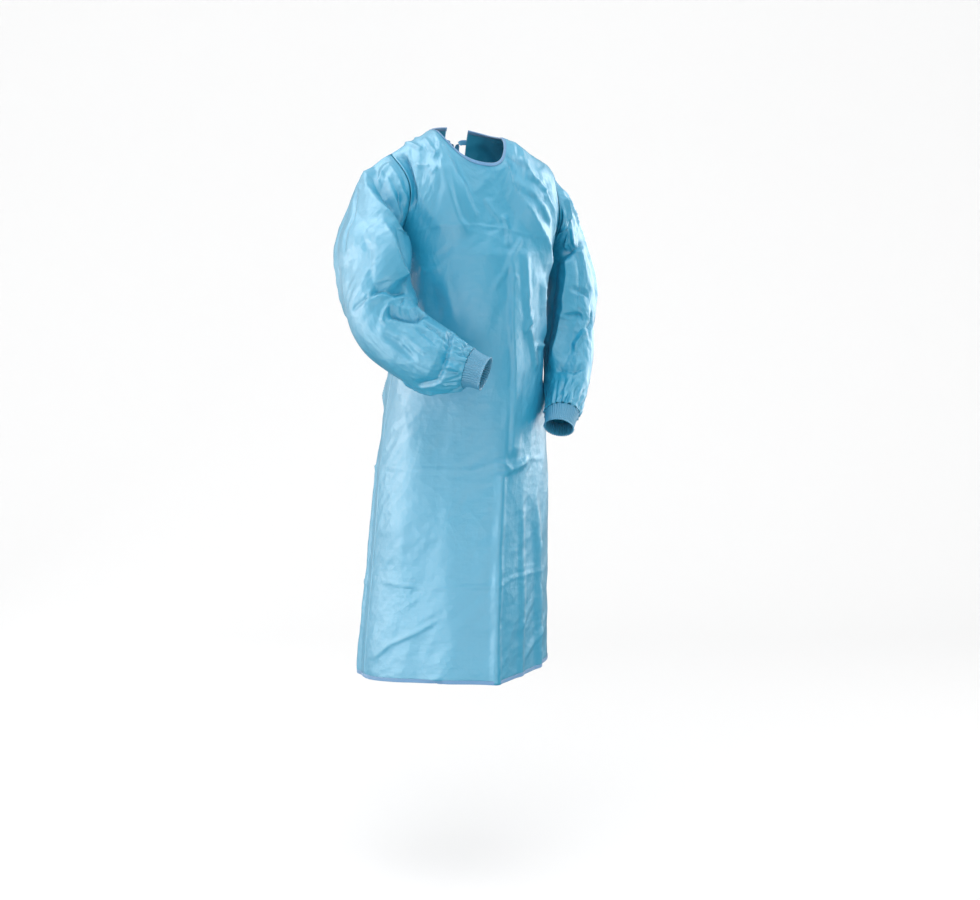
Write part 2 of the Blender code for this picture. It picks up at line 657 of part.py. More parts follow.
def build_sleeves() -> None:
    """Both sleeves and their cuffs. Each sleeve is one cut in two solids, so collision follows its bend."""
    columns = 2 * YOKE_ROWS
    for side, name, rows in ((-1, "right", RIGHT_ARM), (1, "left", LEFT_ARM)):
        for part, first, last in SLEEVE_PARTS:
            def sleeve(across: float, down: float, side: int = side, rows: tuple = rows,
                       top: float = first + PART_CLEARANCE * (first > 0), last: int = last) -> Vector:
                return sleeve_point(rows, side, sleeve_turn(across), sleeve_row(mix(top, last, down)))

            mesh = surface_mesh(f"sleeve_{name}_{part}", columns, last - first, sleeve, True)
            piece = add_object(f"sleeve_{name}_{part}", mesh, CLOTH_BLUE)
            add_wall(piece, sleeve_middle(rows, sleeve_row(first)), WALL)

        def cuff(across: float, down: float, side: int = side, rows: tuple = rows) -> Vector:
            return cuff_point(rows, side, sleeve_turn(across), down)

        mesh = surface_mesh("cuff_" + name, columns, CUFF_ROWS, cuff, True)
        add_wall(add_object("cuff_" + name, mesh, CLOTH_BLUE), Vector(rows[-1][:3]), WALL)


def build_bindings(front: bpy.types.Mesh, backs: list) -> None:
    """The tapes folded over the neckline and the hem."""
    add_object("neck_binding", binding_mesh("neck_binding", neck_stations(front, backs)), BINDING_LILAC)
    add_object("hem_binding", binding_mesh("hem_binding", hem_stations(front, backs)), BINDING_LILAC)


def build_ties() -> None:
    """The ties at the back and the knots that close them."""
    for tie in TIES:
        for side, name in ((-1, "right"), (1, "left")):
            def tape(across: float, down: float, side: int = side, tie: Tie = tie) -> Vector:
                return tie_point(tie, side, across, down)

            mesh = surface_mesh(f"{tie.name}_{name}", 1, TIE_ROWS, tape, False)
            inside = Vector((0.0, 0.0, tie.z))
            add_wall(add_object(f"{tie.name}_{name}", mesh, BINDING_LILAC), inside, TAPE_WALL)

        def knot(across: float, down: float, tie: Tie = tie) -> Vector:
            return knot_point(tie, across, down)

        mesh = surface_mesh(f"{tie.name}_knot", KNOT_COLUMNS, 2, knot, True)
        centre = Vector((0.0, back_depth(tie.z) + TIE_STANDOFF, tie.z - TIE_TURN))
        add_wall(add_object(f"{tie.name}_knot", mesh, BINDING_LILAC), centre, TAPE_WALL)


def main() -> None:
    """Build every piece of the apron."""
    for item in list(bpy.data.objects):
        bpy.data.objects.remove(item, do_unlink=True)
    front, backs = build_panels()
    build_sleeves()
    build_bindings(front, backs)
    build_ties()


if __name__ == "__main__":
    main()
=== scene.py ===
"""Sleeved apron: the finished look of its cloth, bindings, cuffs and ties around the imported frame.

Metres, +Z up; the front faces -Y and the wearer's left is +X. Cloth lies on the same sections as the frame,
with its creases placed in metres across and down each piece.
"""
import logging
import math
from dataclasses import dataclass, field, replace
from enum import Enum

import bmesh
import bpy
import numpy as np
from mathutils import Matrix, Vector, noise
from mathutils.bvhtree import BVHTree


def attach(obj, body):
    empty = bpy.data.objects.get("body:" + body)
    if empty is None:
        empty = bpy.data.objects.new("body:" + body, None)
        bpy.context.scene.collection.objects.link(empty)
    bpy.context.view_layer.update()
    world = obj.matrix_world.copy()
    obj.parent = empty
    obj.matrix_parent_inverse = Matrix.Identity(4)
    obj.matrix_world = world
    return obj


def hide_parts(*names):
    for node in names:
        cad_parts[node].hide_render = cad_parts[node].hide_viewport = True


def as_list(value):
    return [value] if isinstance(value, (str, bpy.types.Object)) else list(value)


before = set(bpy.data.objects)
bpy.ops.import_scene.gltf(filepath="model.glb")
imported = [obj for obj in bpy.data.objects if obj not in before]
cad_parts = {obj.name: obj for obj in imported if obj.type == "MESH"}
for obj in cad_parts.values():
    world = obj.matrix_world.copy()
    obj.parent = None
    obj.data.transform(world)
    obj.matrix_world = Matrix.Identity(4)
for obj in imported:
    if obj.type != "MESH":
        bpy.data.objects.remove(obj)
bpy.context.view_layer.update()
LOG = logging.getLogger("sleeved_apron")

Points = np.ndarray
Colour = tuple[float, float, float]
Place = tuple[float, float]
Material = bpy.types.Material
Mesh = bpy.types.Mesh
Piece = bpy.types.Object
Socket = bpy.types.NodeSocket

QUARTER = 0.5 * math.pi
TURN = 2.0 * math.pi
SIDES = ((-1, "right"), (1, "left"))
CLOTH_WALL = 0.0006
UNDERARM_Z = -0.215
HEM_Z = -1.022
HEM_SIDE_DROP = 0.014
NECK_ROUND = 0.6
NECK_SHARE = 0.5
BACK_NECK_SHARE = 4.0 / 9.0
CAP_LENGTH = 0.10
ARM_LENGTH = 0.30
SLEEVE_GIRTH = 0.42
YOKE_DEPTH = 0.26
SKIRT_LENGTH = 0.807
SEAM_DEPTH = 0.0016


def ease(value: Points) -> Points:
    """A share between 0 and 1, smoothed at both ends."""
    return value * value * (3.0 - 2.0 * value)


def smooth_step(value: Points, low: float, high: float) -> Points:
    """The smooth share of the way that values are from low to high."""
    return ease(np.clip((value - low) / (high - low), 0.0, 1.0))


def mix(first: Points, second: Points, share: Points) -> Points:
    """What lies the given share of the way from first to second."""
    return first + (second - first) * share


def stack(x: Points, y: Points, z: Points) -> Points:
    """Three coordinates as an array of points."""
    return np.stack(np.broadcast_arrays(x, y, z), axis=-1)


def unit(vectors: Points) -> Points:
    """The vectors at length one."""
    return vectors / np.maximum(np.linalg.norm(vectors, axis=-1, keepdims=True), 1e-9)


def dot(first: Points, second: Points) -> Points:
    """Dot products along the last axis, kept as a column."""
    return np.sum(first * second, axis=-1, keepdims=True)


def spline(rows: Points, place: Points) -> Points:
    """Rows of a table at fractional places, on a Catmull-Rom curve through them.

    Args:
        rows: The table, one row for each whole place.
        place: The places asked for.

    Returns:
        One row of values for each place.
    """
    index = np.clip(np.floor(place).astype(int), 0, len(rows) - 2)
    share = (place - index)[..., None]
    before = rows[np.maximum(index - 1, 0)]
    first, second = rows[index], rows[index + 1]
    after = rows[np.minimum(index + 2, len(rows) - 1)]
    return 0.5 * (2.0 * first + (second - before) * share
                  + (2.0 * before - 5.0 * first + 4.0 * second - after) * share ** 2
                  + (3.0 * first - before - 3.0 * second + after) * share ** 3)


LEAST_FADE = 1e-3
# Rates and spread that scatter the facets' heights, the rows' spacing, and how the rows wander
SCATTER = (12.9898, 78.233, 37.719)
SCATTER_SPREAD = 43758.5453
FACET_ROW = 0.866
WANDER = (0.30, 0.22)
WANDER_RATES = (0.71, 0.53)
WANDER_DOWN = 0.6
SWELL_STRETCH = 1.8


class Form(Enum):
    """How a crease's height falls from its crest to its foot."""

    SHARP = "sharp crest and flared foot"
    SOFT = "rounded crest and foot"
    PLATE = "flat flanks"


@dataclass(frozen=True)
class Crease:
    """A ridge (height above 0) or trough along a path, in metres across and down a piece.

    Of its two reaches the first is to the side of smaller across where the path runs down, which is
    below the path where it runs to larger across; the second is to the other side.
    """

    path: tuple[Place, ...]
    height: float
    reach: Place
    form: Form = Form.PLATE
    fade: Place = (0.2, 0.2)
    flare: float = 1.7
    nip: float = 0.15
    nip_flare: int = 14

    def lift(self, across: Points, down: Points, girth: float = 0.0) -> Points:
        """How far the crease moves the cloth outwards.

        Args:
            across: Places across the piece, in metres.
            down: Places down the piece, in metres.
            girth: Girth of a tube, or 0 on a flat piece.

        Returns:
            The outward move at each place, in metres.
        """
        if girth:
            middle = 0.5 * (self.path[0][0] + self.path[-1][0])
            across = np.mod(across - middle + 0.5 * girth, girth) - 0.5 * girth + middle
        lengths = [math.dist(a, b) for a, b in zip(self.path, self.path[1:])]
        best = np.zeros_like(across)
        gone = 0.0
        for first, second, length in zip(self.path, self.path[1:], lengths):
            run_a, run_d = (second[0] - first[0]) / length, (second[1] - first[1]) / length
            from_a, from_d = across - first[0], down - first[1]
            along = from_a * run_a + from_d * run_d
            held = np.clip(along, 0.0, length)
            aside = from_a * run_d - from_d * run_a
            reach = np.where(aside < 0.0, self.reach[0], self.reach[1])
            away = np.hypot(aside / reach, (along - held) / min(self.reach))
            falling = np.clip(1.0 - away, 0.0, 1.0)
            share = (gone + held) / sum(lengths)
            grow = ease(np.clip(share / max(self.fade[0], LEAST_FADE), 0.0, 1.0))
            shrink = ease(np.clip((1.0 - share) / max(self.fade[1], LEAST_FADE), 0.0, 1.0))
            best = np.maximum(best, falling * grow * shrink)
            gone += length
        if self.form is Form.SHARP:
            best = best ** self.flare
        elif self.form is Form.SOFT:
            best = ease(best)
        elif self.form is Form.PLATE:
            best = best + self.nip * best ** self.nip_flare
        return self.height * best


def chance(column: Points, row: Points, seed: float) -> Points:
    """An even spread of values between -1 and 1, one for each whole column and row."""
    mixed = np.sin(column * SCATTER[0] + row * SCATTER[1] + seed * SCATTER[2]) * SCATTER_SPREAD
    return 2.0 * (mixed - np.floor(mixed)) - 1.0


def facets(across: Points, down: Points, cell: float, seed: float) -> Points:
    """Flat three-sided facets between sharp edges, as stiff film takes on, with heights between -1 and 1.

    Args:
        across: Places across the cloth, in metres.
        down: Places down the cloth, in metres.
        cell: Size of a facet.
        seed: Picks the pattern.

    Returns:
        A height for each place.
    """
    bend = (WANDER[0] * np.sin(down / cell * WANDER_RATES[0] + seed)
            + WANDER[1] * np.sin(across / cell * WANDER_RATES[1] - seed))
    u = across / cell + 0.5 * down / cell + bend
    v = down / cell * FACET_ROW - WANDER_DOWN * bend
    column, row = np.floor(u), np.floor(v)
    part_u, part_v = u - column, v - row
    near, far = chance(column, row, seed), chance(column + 1.0, row + 1.0, seed)
    side, below = chance(column + 1.0, row, seed), chance(column, row + 1.0, seed)
    first = near + part_u * (side - near) + part_v * (below - near)
    second = far + (1.0 - part_u) * (below - far) + (1.0 - part_v) * (side - far)
    return np.where(part_u + part_v < 1.0, first, second)


@dataclass(frozen=True)
class Crumple:
    """A patch of small flat facets between sharp short creases."""

    centre: Place
    reach: Place
    height: float
    cell: float
    stretch: float = 1.0
    turn: float = 0.0
    plateau: float = 1.6
    coarse_share: float = 0.6
    fine_share: float = 0.4
    fine_cell: float = 0.45

    def lift(self, across: Points, down: Points, girth: float = 0.0) -> Points:
        """How far the patch moves the cloth outwards.

        Args:
            across: Places across the cloth, in metres.
            down: Places down the cloth, in metres.
            girth: Girth of a tube, or 0 on a flat piece.

        Returns:
            The outward move at each place, in metres.
        """
        if girth:
            across = np.mod(across - self.centre[0] + 0.5 * girth, girth) - 0.5 * girth + self.centre[0]
        from_a, from_d = across - self.centre[0], down - self.centre[1]
        near = 1.0 - np.hypot(from_a / self.reach[0], from_d / self.reach[1])
        weight = ease(np.clip(self.plateau * near, 0.0, 1.0))
        angle = math.radians(self.turn)
        along = (across * math.cos(angle) + down * math.sin(angle)) / self.stretch
        aside = down * math.cos(angle) - across * math.sin(angle)
        seed = 100.0 * self.centre[0] + 10.0 * self.centre[1]
        coarse = facets(along, aside, self.cell, seed)
        fine = facets(along, aside, self.fine_cell * self.cell, seed + 3.0)
        return self.height * weight * self.coarse_share * (coarse + self.fine_share * fine)


def lifts(items: tuple[Crease | Crumple, ...], across: Points, down: Points, girth: float = 0.0) -> Points:
    """The joint lift of several creases and crumpled patches.

    Args:
        items: The creases and patches.
        across: Places across the piece, in metres.
        down: Places down the piece, in metres.
        girth: Girth of a tube, or 0 on a flat piece.

    Returns:
        The outward move at each place, in metres.
    """
    total = np.zeros_like(across)
    for item in items:
        total = total + item.lift(across, down, girth)
    return total


@dataclass(frozen=True)
class Wear:
    """How uneven a cloth is between its folds: soft swelling, and flat facets of two sizes."""

    swell_cell: float
    swell_seed: float
    seeds: Place
    swell_height: float = 0.0030
    cells: Place = (0.034, 0.015)
    heights: Place = (0.0016, 0.0006)
    squeeze: Place = (1.5, 0.6)
    fine_squeeze: Place = (1.0, 0.8)

    def swelling(self, points: Points) -> Points:
        """How far the soft swelling moves the cloth.

        Args:
            points: The cloth's points in space.

        Returns:
            The outward move at each point.
        """
        cells = np.array((1.0, 1.0, SWELL_STRETCH)) * self.swell_cell
        total = [noise.noise(Vector(spot)) for spot in points.reshape(-1, 3) / cells + self.swell_seed]
        return self.swell_height * np.reshape(total, points.shape[:-1])

    def facet_lift(self, across: Points, down: Points, fine_across: Points) -> Points:
        """How far the facets move the cloth.

        Args:
            across: Places across the cloth, for the large facets.
            down: Places down the cloth.
            fine_across: Places across the cloth, for the small facets.

        Returns:
            The outward move at each place.
        """
        coarse = facets(across * self.squeeze[0], down * self.squeeze[1], self.cells[0], self.seeds[0])
        fine = facets(fine_across * self.fine_squeeze[0], down * self.fine_squeeze[1], self.cells[1],
                      self.seeds[1])
        return self.heights[0] * coarse + self.heights[1] * fine


@dataclass(frozen=True)
class Shoulder:
    """One shoulder: its two ends along the seam, and how its sleeve leaves it sideways and upwards."""

    neck_x: float
    neck_z: float
    tip_x: float
    tip_z: float
    cap_spread: float
    cap_rise: float


@dataclass(frozen=True)
class BodyForm:
    """The body that the panels lie on: a neck, two shoulders and sections down to the hem."""

    right_shoulder: Shoulder = Shoulder(0.074, 0.020, 0.162, -0.027, 0.40, 0.28)
    left_shoulder: Shoulder = Shoulder(0.062, 0.006, 0.162, -0.045, 0.08, -0.10)
    neck_front: Place = (0.088, 0.057)
    neck_back: Place = (-0.070, -0.012)
    armhole_cuts: Place = (0.39, 0.30)
    armhole_widen: float = 0.16
    front_round: Place = (0.1, 0.5)
    back_round: Place = (-0.5, 0.5)
    fan_share: float = 0.64
    # Columns: height, right, left, front and back reach, middle, sharpness of the front, half the open back
    sections: tuple[tuple[float, ...], ...] = (
        (-0.215, 0.150, 0.160, 0.140, 0.116, 0.012, -0.10, 0.022),
        (-0.300, 0.148, 0.150, 0.149, 0.116, 0.016, -0.02, 0.026),
        (-0.370, 0.152, 0.141, 0.154, 0.118, 0.018, 0.05, 0.030),
        (-0.450, 0.163, 0.139, 0.162, 0.124, 0.014, 0.14, 0.036),
        (-0.530, 0.175, 0.147, 0.171, 0.130, 0.008, 0.22, 0.042),
        (-0.640, 0.188, 0.156, 0.182, 0.136, -0.002, 0.30, 0.050),
        (-0.800, 0.202, 0.158, 0.196, 0.143, -0.016, 0.38, 0.060),
        (-1.022, 0.222, 0.159, 0.210, 0.150, -0.031, 0.46, 0.072),
    )

    def section(self, z: Points) -> Points:
        """The section's values at each height."""
        table = np.array(self.sections)
        return spline(table, np.interp(-np.asarray(z, float), -table[:, 0], np.arange(len(table))))

    def shoulder(self, side: Points, name: str) -> Points:
        """One of the shoulders' sizes on each side, -1 the wearer's right and 1 the left."""
        left, right = getattr(self.left_shoulder, name), getattr(self.right_shoulder, name)
        return np.where(np.asarray(side) > 0, left, right)

    def point(self, angle: Points, z: Points) -> Points:
        """The body's surface, at angles from the centre front towards the wearer's left.

        Args:
            angle: Angles round the body.
            z: Heights.

        Returns:
            The points.
        """
        _, right, left, front, back, middle, crease, _ = np.moveaxis(self.section(z), -1, 0)
        across, along = np.sin(angle), np.cos(angle)
        half = np.where(across > 0.0, left - middle, right + middle)
        depth = np.where(along > 0.0, front * (1.0 - crease * np.abs(across)), back)
        return stack(middle + half * across, -depth * along, z)

    def level(self, angle: Points, row: Points) -> Points:
        """Height of the body's rows: 1 at the underarm, 2 at the hem."""
        drop = HEM_SIDE_DROP * np.maximum(0.0, -np.sin(angle)) ** 2
        return mix(UNDERARM_Z, HEM_Z - drop, row - 1.0)

    def top(self, side: Points, share: Points, neck_share: float, reach: float, drop: float) -> Points:
        """A panel's upper edge: its neckline, then its shoulder seam, from the middle out to the tip.

        Args:
            side: -1 on the wearer's right and 1 on the left.
            share: Shares of the edge, from the middle of the neckline to the shoulder's tip.
            neck_share: Share at which the neckline ends.
            reach: How far forward the neckline reaches.
            drop: How far down it dips.

        Returns:
            The points of the edge.
        """
        neck_x, neck_z = self.shoulder(side, "neck_x"), self.shoulder(side, "neck_z")
        other_x, other_z = self.shoulder(-side, "neck_x"), self.shoulder(-side, "neck_z")
        angle = QUARTER * np.minimum(share / neck_share, 1.0)
        x = neck_x * np.sin(angle)
        level = mix(other_z, neck_z, (other_x + x) / (other_x + neck_x))
        dip = np.cos(angle) ** 2
        if drop > 0.0:
            dip = dip * (1.0 + NECK_ROUND * np.sin(angle) ** 2)
        round_neck = stack(side * x, -reach * np.cos(angle), level - drop * dip)
        out = np.clip((share - neck_share) / (1.0 - neck_share), 0.0, 1.0)
        seam = stack(side * mix(neck_x, self.shoulder(side, "tip_x"), out), 0.0 * out,
                     mix(neck_z, self.shoulder(side, "tip_z"), out))
        return np.where((share <= neck_share)[..., None], round_neck, seam)

    def yoke(self, top: Points, low: Points, row: Points, roundness: Points) -> Points:
        """Points between the upper edge and the underarm level, rounded over the shoulder.

        Args:
            top: Points of the upper edge.
            low: Points at the underarm level.
            row: Rows, 0 on the upper edge and 1 at the underarm.
            roundness: How round each column is, from 0 to 1.

        Returns:
            The points.
        """
        row = np.clip(row, 0.0, 1.0)
        forward = mix(row, np.sin(QUARTER * row), roundness)
        down = mix(row, 1.0 - np.cos(QUARTER * row), roundness)
        wide = 1.0 + self.armhole_widen * np.sin(math.pi * row) * roundness
        return stack(mix(top[..., 0], low[..., 0] * wide, forward), mix(top[..., 1], low[..., 1], forward),
                     mix(top[..., 2], low[..., 2], down))

    def fanned(self, share: Points, neck_share: float, row: Points) -> Points:
        """A column's share of its quarter of the body: fanned out at the underarm, even further down.

        Args:
            share: The column's own share.
            neck_share: Share at which the neckline ends.
            row: Rows, 0 at the top, 1 at the underarm and 2 at the hem.

        Returns:
            The share of the quarter.
        """
        outer = mix(self.fan_share, 1.0, (share - neck_share) / (1.0 - neck_share))
        fan = np.where(share < neck_share, self.fan_share * share / neck_share, outer)
        return mix(fan, share, smooth_step(row, 1.0, 1.5))

    def front(self, share: Points, row: Points) -> Points:
        """Front panel: share from -1 at the right seam to 1 at the left, row 0 at the top to 2.

        Args:
            share: Shares across the panel.
            row: Rows down the panel.

        Returns:
            The points.
        """
        side, out = np.where(share >= 0.0, 1.0, -1.0), np.abs(share)
        angle = side * QUARTER * self.fanned(out, NECK_SHARE, row)
        hanging = self.point(angle, self.level(angle, row))
        turned = angle * (1.0 - self.armhole_cuts[0] * np.sin(math.pi * np.clip(row, 0.0, 1.0)))
        top = self.top(side, out, NECK_SHARE, *self.neck_front)
        low = self.point(turned, np.full_like(row, UNDERARM_Z))
        yoke = self.yoke(top, low, row, smooth_step(out, *self.front_round))
        return np.where((row >= 1.0)[..., None], hanging, yoke)

    def back(self, side: int, share: Points, row: Points) -> Points:
        """Back panel: share from the open edge to the side seam, row from 0 at the top to 2.

        Args:
            side: -1 for the wearer's right half, 1 for the left.
            share: Shares across the panel.
            row: Rows down the panel.

        Returns:
            The points.
        """
        _, right, left, _, _, middle, _, open_half = np.moveaxis(
            self.section(mix(UNDERARM_Z, HEM_Z, np.maximum(0.0, row - 1.0))), -1, 0)
        half = left - middle if side > 0 else right + middle
        opening = np.arcsin((open_half - side * middle) / half)
        turn = mix(opening, QUARTER, self.fanned(share, BACK_NECK_SHARE, row))
        angle = side * (math.pi - turn)
        hanging = self.point(angle, self.level(angle, row))
        cut = self.armhole_cuts[1] * np.sin(math.pi * np.clip(row, 0.0, 1.0))
        turn = turn * (1.0 - cut * smooth_step(share, 0.0, 1.0))
        neck_turn = math.asin(self.sections[0][7] / float(self.shoulder(side, "neck_x")))
        open_share = BACK_NECK_SHARE * neck_turn / QUARTER
        neck = mix(open_share, BACK_NECK_SHARE, share / BACK_NECK_SHARE)
        top_share = np.where(share < BACK_NECK_SHARE, neck, share)
        top = self.top(np.full_like(share, side), top_share, BACK_NECK_SHARE, *self.neck_back)
        low = self.point(side * (math.pi - turn), np.full_like(row, UNDERARM_Z))
        yoke = self.yoke(top, low, row, smooth_step(share, *self.back_round))
        return np.where((row >= 1.0)[..., None], hanging, yoke)

    def armhole(self, side: int, angle: Points) -> Points:
        """Armhole edge, from the shoulder tip (0) down the front to the underarm (pi) and up the back.

        Args:
            side: -1 for the wearer's right arm, 1 for the left.
            angle: Angles round the armhole.

        Returns:
            The points.
        """
        ahead = self.front(np.full_like(angle, side), np.clip(angle / math.pi, 0.0, 1.0))
        behind = self.back(side, np.ones_like(angle), np.clip(2.0 - angle / math.pi, 0.0, 1.0))
        return np.where((angle <= math.pi)[..., None], ahead, behind)

    def open_depth(self, z: Points) -> Points:
        """How far back both open edges lie at each height, at most.

        Args:
            z: Heights.

        Returns:
            The y of the edge that lies further back.
        """
        row = np.linspace(0.0, 2.0, 799)
        edges = [self.back(side, np.zeros_like(row), row) for side in (-1, 1)]
        return np.maximum(*[np.interp(-z, -edge[:, 2], edge[:, 1]) for edge in edges])


@dataclass(frozen=True)
class ArmForm:
    """The arm that a sleeve lies on, as rings down from the armhole."""

    side: int
    # Columns: middle x, y, z, outer, inner, front and back reach, and the outer side's direction
    rings: tuple[tuple[float, ...], ...]
    leaving: tuple[float, float, float] = (0.45, -0.25, -0.75)
    start_reach: float = 0.45
    end_reach: float = 0.40
    armhole_gap: float = 0.0003
    aim_step: float = 0.03
    cuff_rings: float = 0.99

    def ring(self, place: Points, angle: Points) -> Points:
        """The sleeve's surface: place runs down the rings, angle goes round from the outer side.

        Args:
            place: Places down the rings, whole at each ring.
            angle: Angles round the arm.

        Returns:
            The points.
        """
        table = np.array(self.rings)
        place, angle = np.broadcast_arrays(np.asarray(place, float), angle)
        row = spline(table, place)
        ahead = spline(table, np.minimum(place + self.aim_step, len(table) - 1.0))[..., :3]
        behind = spline(table, np.maximum(place - self.aim_step, 0.0))[..., :3]
        along = unit(ahead - behind)
        facing = row[..., 7:10]
        outward = unit(facing - along * dot(facing, along))
        forward = self.side * np.cross(along, outward)
        across, depth = np.cos(angle), np.sin(angle)
        out_reach = np.where(across > 0.0, row[..., 3], row[..., 4])
        fore_reach = np.where(depth > 0.0, row[..., 5], row[..., 6])
        aside, fore = (out_reach * across)[..., None], (fore_reach * depth)[..., None]
        return row[..., :3] + outward * aside + forward * fore

    def middle(self, row: Points) -> Points:
        """The middle of the sleeve at its rows, 0 at the armhole, 1 below the cap and 2 at the cuff.

        Args:
            row: The sleeve's rows.

        Returns:
            The points of the arm's middle line.
        """
        table = np.array(self.rings)
        place = np.where(row <= 1.0, row, mix(1.0, len(table) - 2.0, np.maximum(0.0, row - 1.0)))
        return spline(table, place)[..., :3]

    def cap(self, body: BodyForm, share: Points, angle: Points) -> Points:
        """The sleeve's cap, from the armhole (share 0) to the second ring (share 1).

        Args:
            body: The body whose armhole the cap is set into.
            share: Shares down the cap.
            angle: Angles round the arm.

        Returns:
            The points.
        """
        rise = 0.5 + 0.5 * np.cos(angle)
        spread_x = self.leaving[0] + float(body.shoulder(self.side, "cap_spread")) * rise
        lean_z = self.leaving[2] + float(body.shoulder(self.side, "cap_rise")) * rise
        leaving = unit(stack(self.side * spread_x, self.leaving[1] * np.sin(angle), lean_z))
        start = body.armhole(self.side, angle) + np.array((self.side * self.armhole_gap, 0.0, 0.0))
        end = self.ring(np.ones_like(angle), angle)
        arriving = unit(self.ring(np.full_like(angle, 1.0 + self.aim_step), angle)
                        - self.ring(np.full_like(angle, 1.0 - self.aim_step), angle))
        reach = np.linalg.norm(end - start, axis=-1, keepdims=True)
        first, second = start + leaving * reach * self.start_reach, end - arriving * reach * self.end_reach
        share = share[..., None]
        rest = 1.0 - share
        return (start * rest ** 3 + first * 3.0 * rest ** 2 * share
                + second * 3.0 * rest * share ** 2 + end * share ** 3)

    def sleeve(self, body: BodyForm, around: Points, row: Points) -> Points:
        """Sleeve: around from 0 to 1, row from 0 at the armhole to 1 below the cap to 2 at the cuff.

        Args:
            body: The body whose armhole the sleeve is set into.
            around: Shares of the way round, from the outer side over the front.
            row: Rows down the sleeve.

        Returns:
            The points.
        """
        angle = TURN * around
        place = mix(1.0, len(self.rings) - 2.0, np.maximum(0.0, row - 1.0))
        cap = self.cap(body, np.minimum(row, 1.0), angle)
        return np.where((row <= 1.0)[..., None], cap, self.ring(place, angle))

    def cuff(self, around: Points, row: Points) -> Points:
        """Cuff: around from 0 to 1, row from 0 at the sleeve's end to 1 at the wrist."""
        last = len(self.rings) - 1.0
        return self.ring(mix(last - self.cuff_rings, last, row), TURN * around)


BODY = BodyForm()
RIGHT_ARM = ArmForm(-1, (
    (-0.160, -0.012, -0.130, 0.060, 0.050, 0.060, 0.060, -1.0, 0.0, 0.0),
    (-0.212, -0.034, -0.195, 0.062, 0.050, 0.080, 0.064, -1.0, 0.0, 0.0),
    (-0.220, -0.062, -0.250, 0.062, 0.066, 0.090, 0.060, -1.0, 0.0, 0.0),
    (-0.218, -0.090, -0.304, 0.064, 0.070, 0.080, 0.056, -0.9, 0.2, -0.3),
    (-0.207, -0.123, -0.350, 0.066, 0.068, 0.066, 0.054, -0.6, 0.3, -0.7),
    (-0.168, -0.164, -0.386, 0.066, 0.064, 0.060, 0.052, -0.2, 0.1, -1.0),
    (-0.131, -0.196, -0.408, 0.062, 0.056, 0.056, 0.048, 0.0, 0.0, -1.0),
    (-0.091, -0.227, -0.420, 0.038, 0.038, 0.038, 0.036, 0.0, 0.0, -1.0),
    (-0.066, -0.245, -0.430, 0.033, 0.033, 0.033, 0.032, 0.0, 0.0, -1.0),
))
LEFT_ARM = ArmForm(1, (
    (0.166, 0.006, -0.140, 0.060, 0.050, 0.060, 0.060, 1.0, 0.0, 0.0),
    (0.201, 0.010, -0.200, 0.036, 0.036, 0.066, 0.064, 1.0, 0.0, 0.0),
    (0.209, 0.006, -0.262, 0.046, 0.044, 0.072, 0.066, 1.0, 0.0, 0.0),
    (0.207, -0.006, -0.326, 0.048, 0.046, 0.072, 0.064, 1.0, 0.0, 0.0),
    (0.198, -0.026, -0.382, 0.042, 0.042, 0.066, 0.060, 1.0, 0.2, -0.1),
    (0.181, -0.060, -0.432, 0.040, 0.036, 0.058, 0.054, 1.0, 0.4, -0.2),
    (0.159, -0.100, -0.478, 0.038, 0.033, 0.050, 0.047, 1.0, 0.5, -0.2),
    (0.134, -0.140, -0.520, 0.033, 0.031, 0.036, 0.036, 1.0, 0.5, -0.2),
    (0.120, -0.158, -0.545, 0.030, 0.029, 0.031, 0.031, 1.0, 0.5, -0.2),
))
ARMS = {-1: RIGHT_ARM, 1: LEFT_ARM}


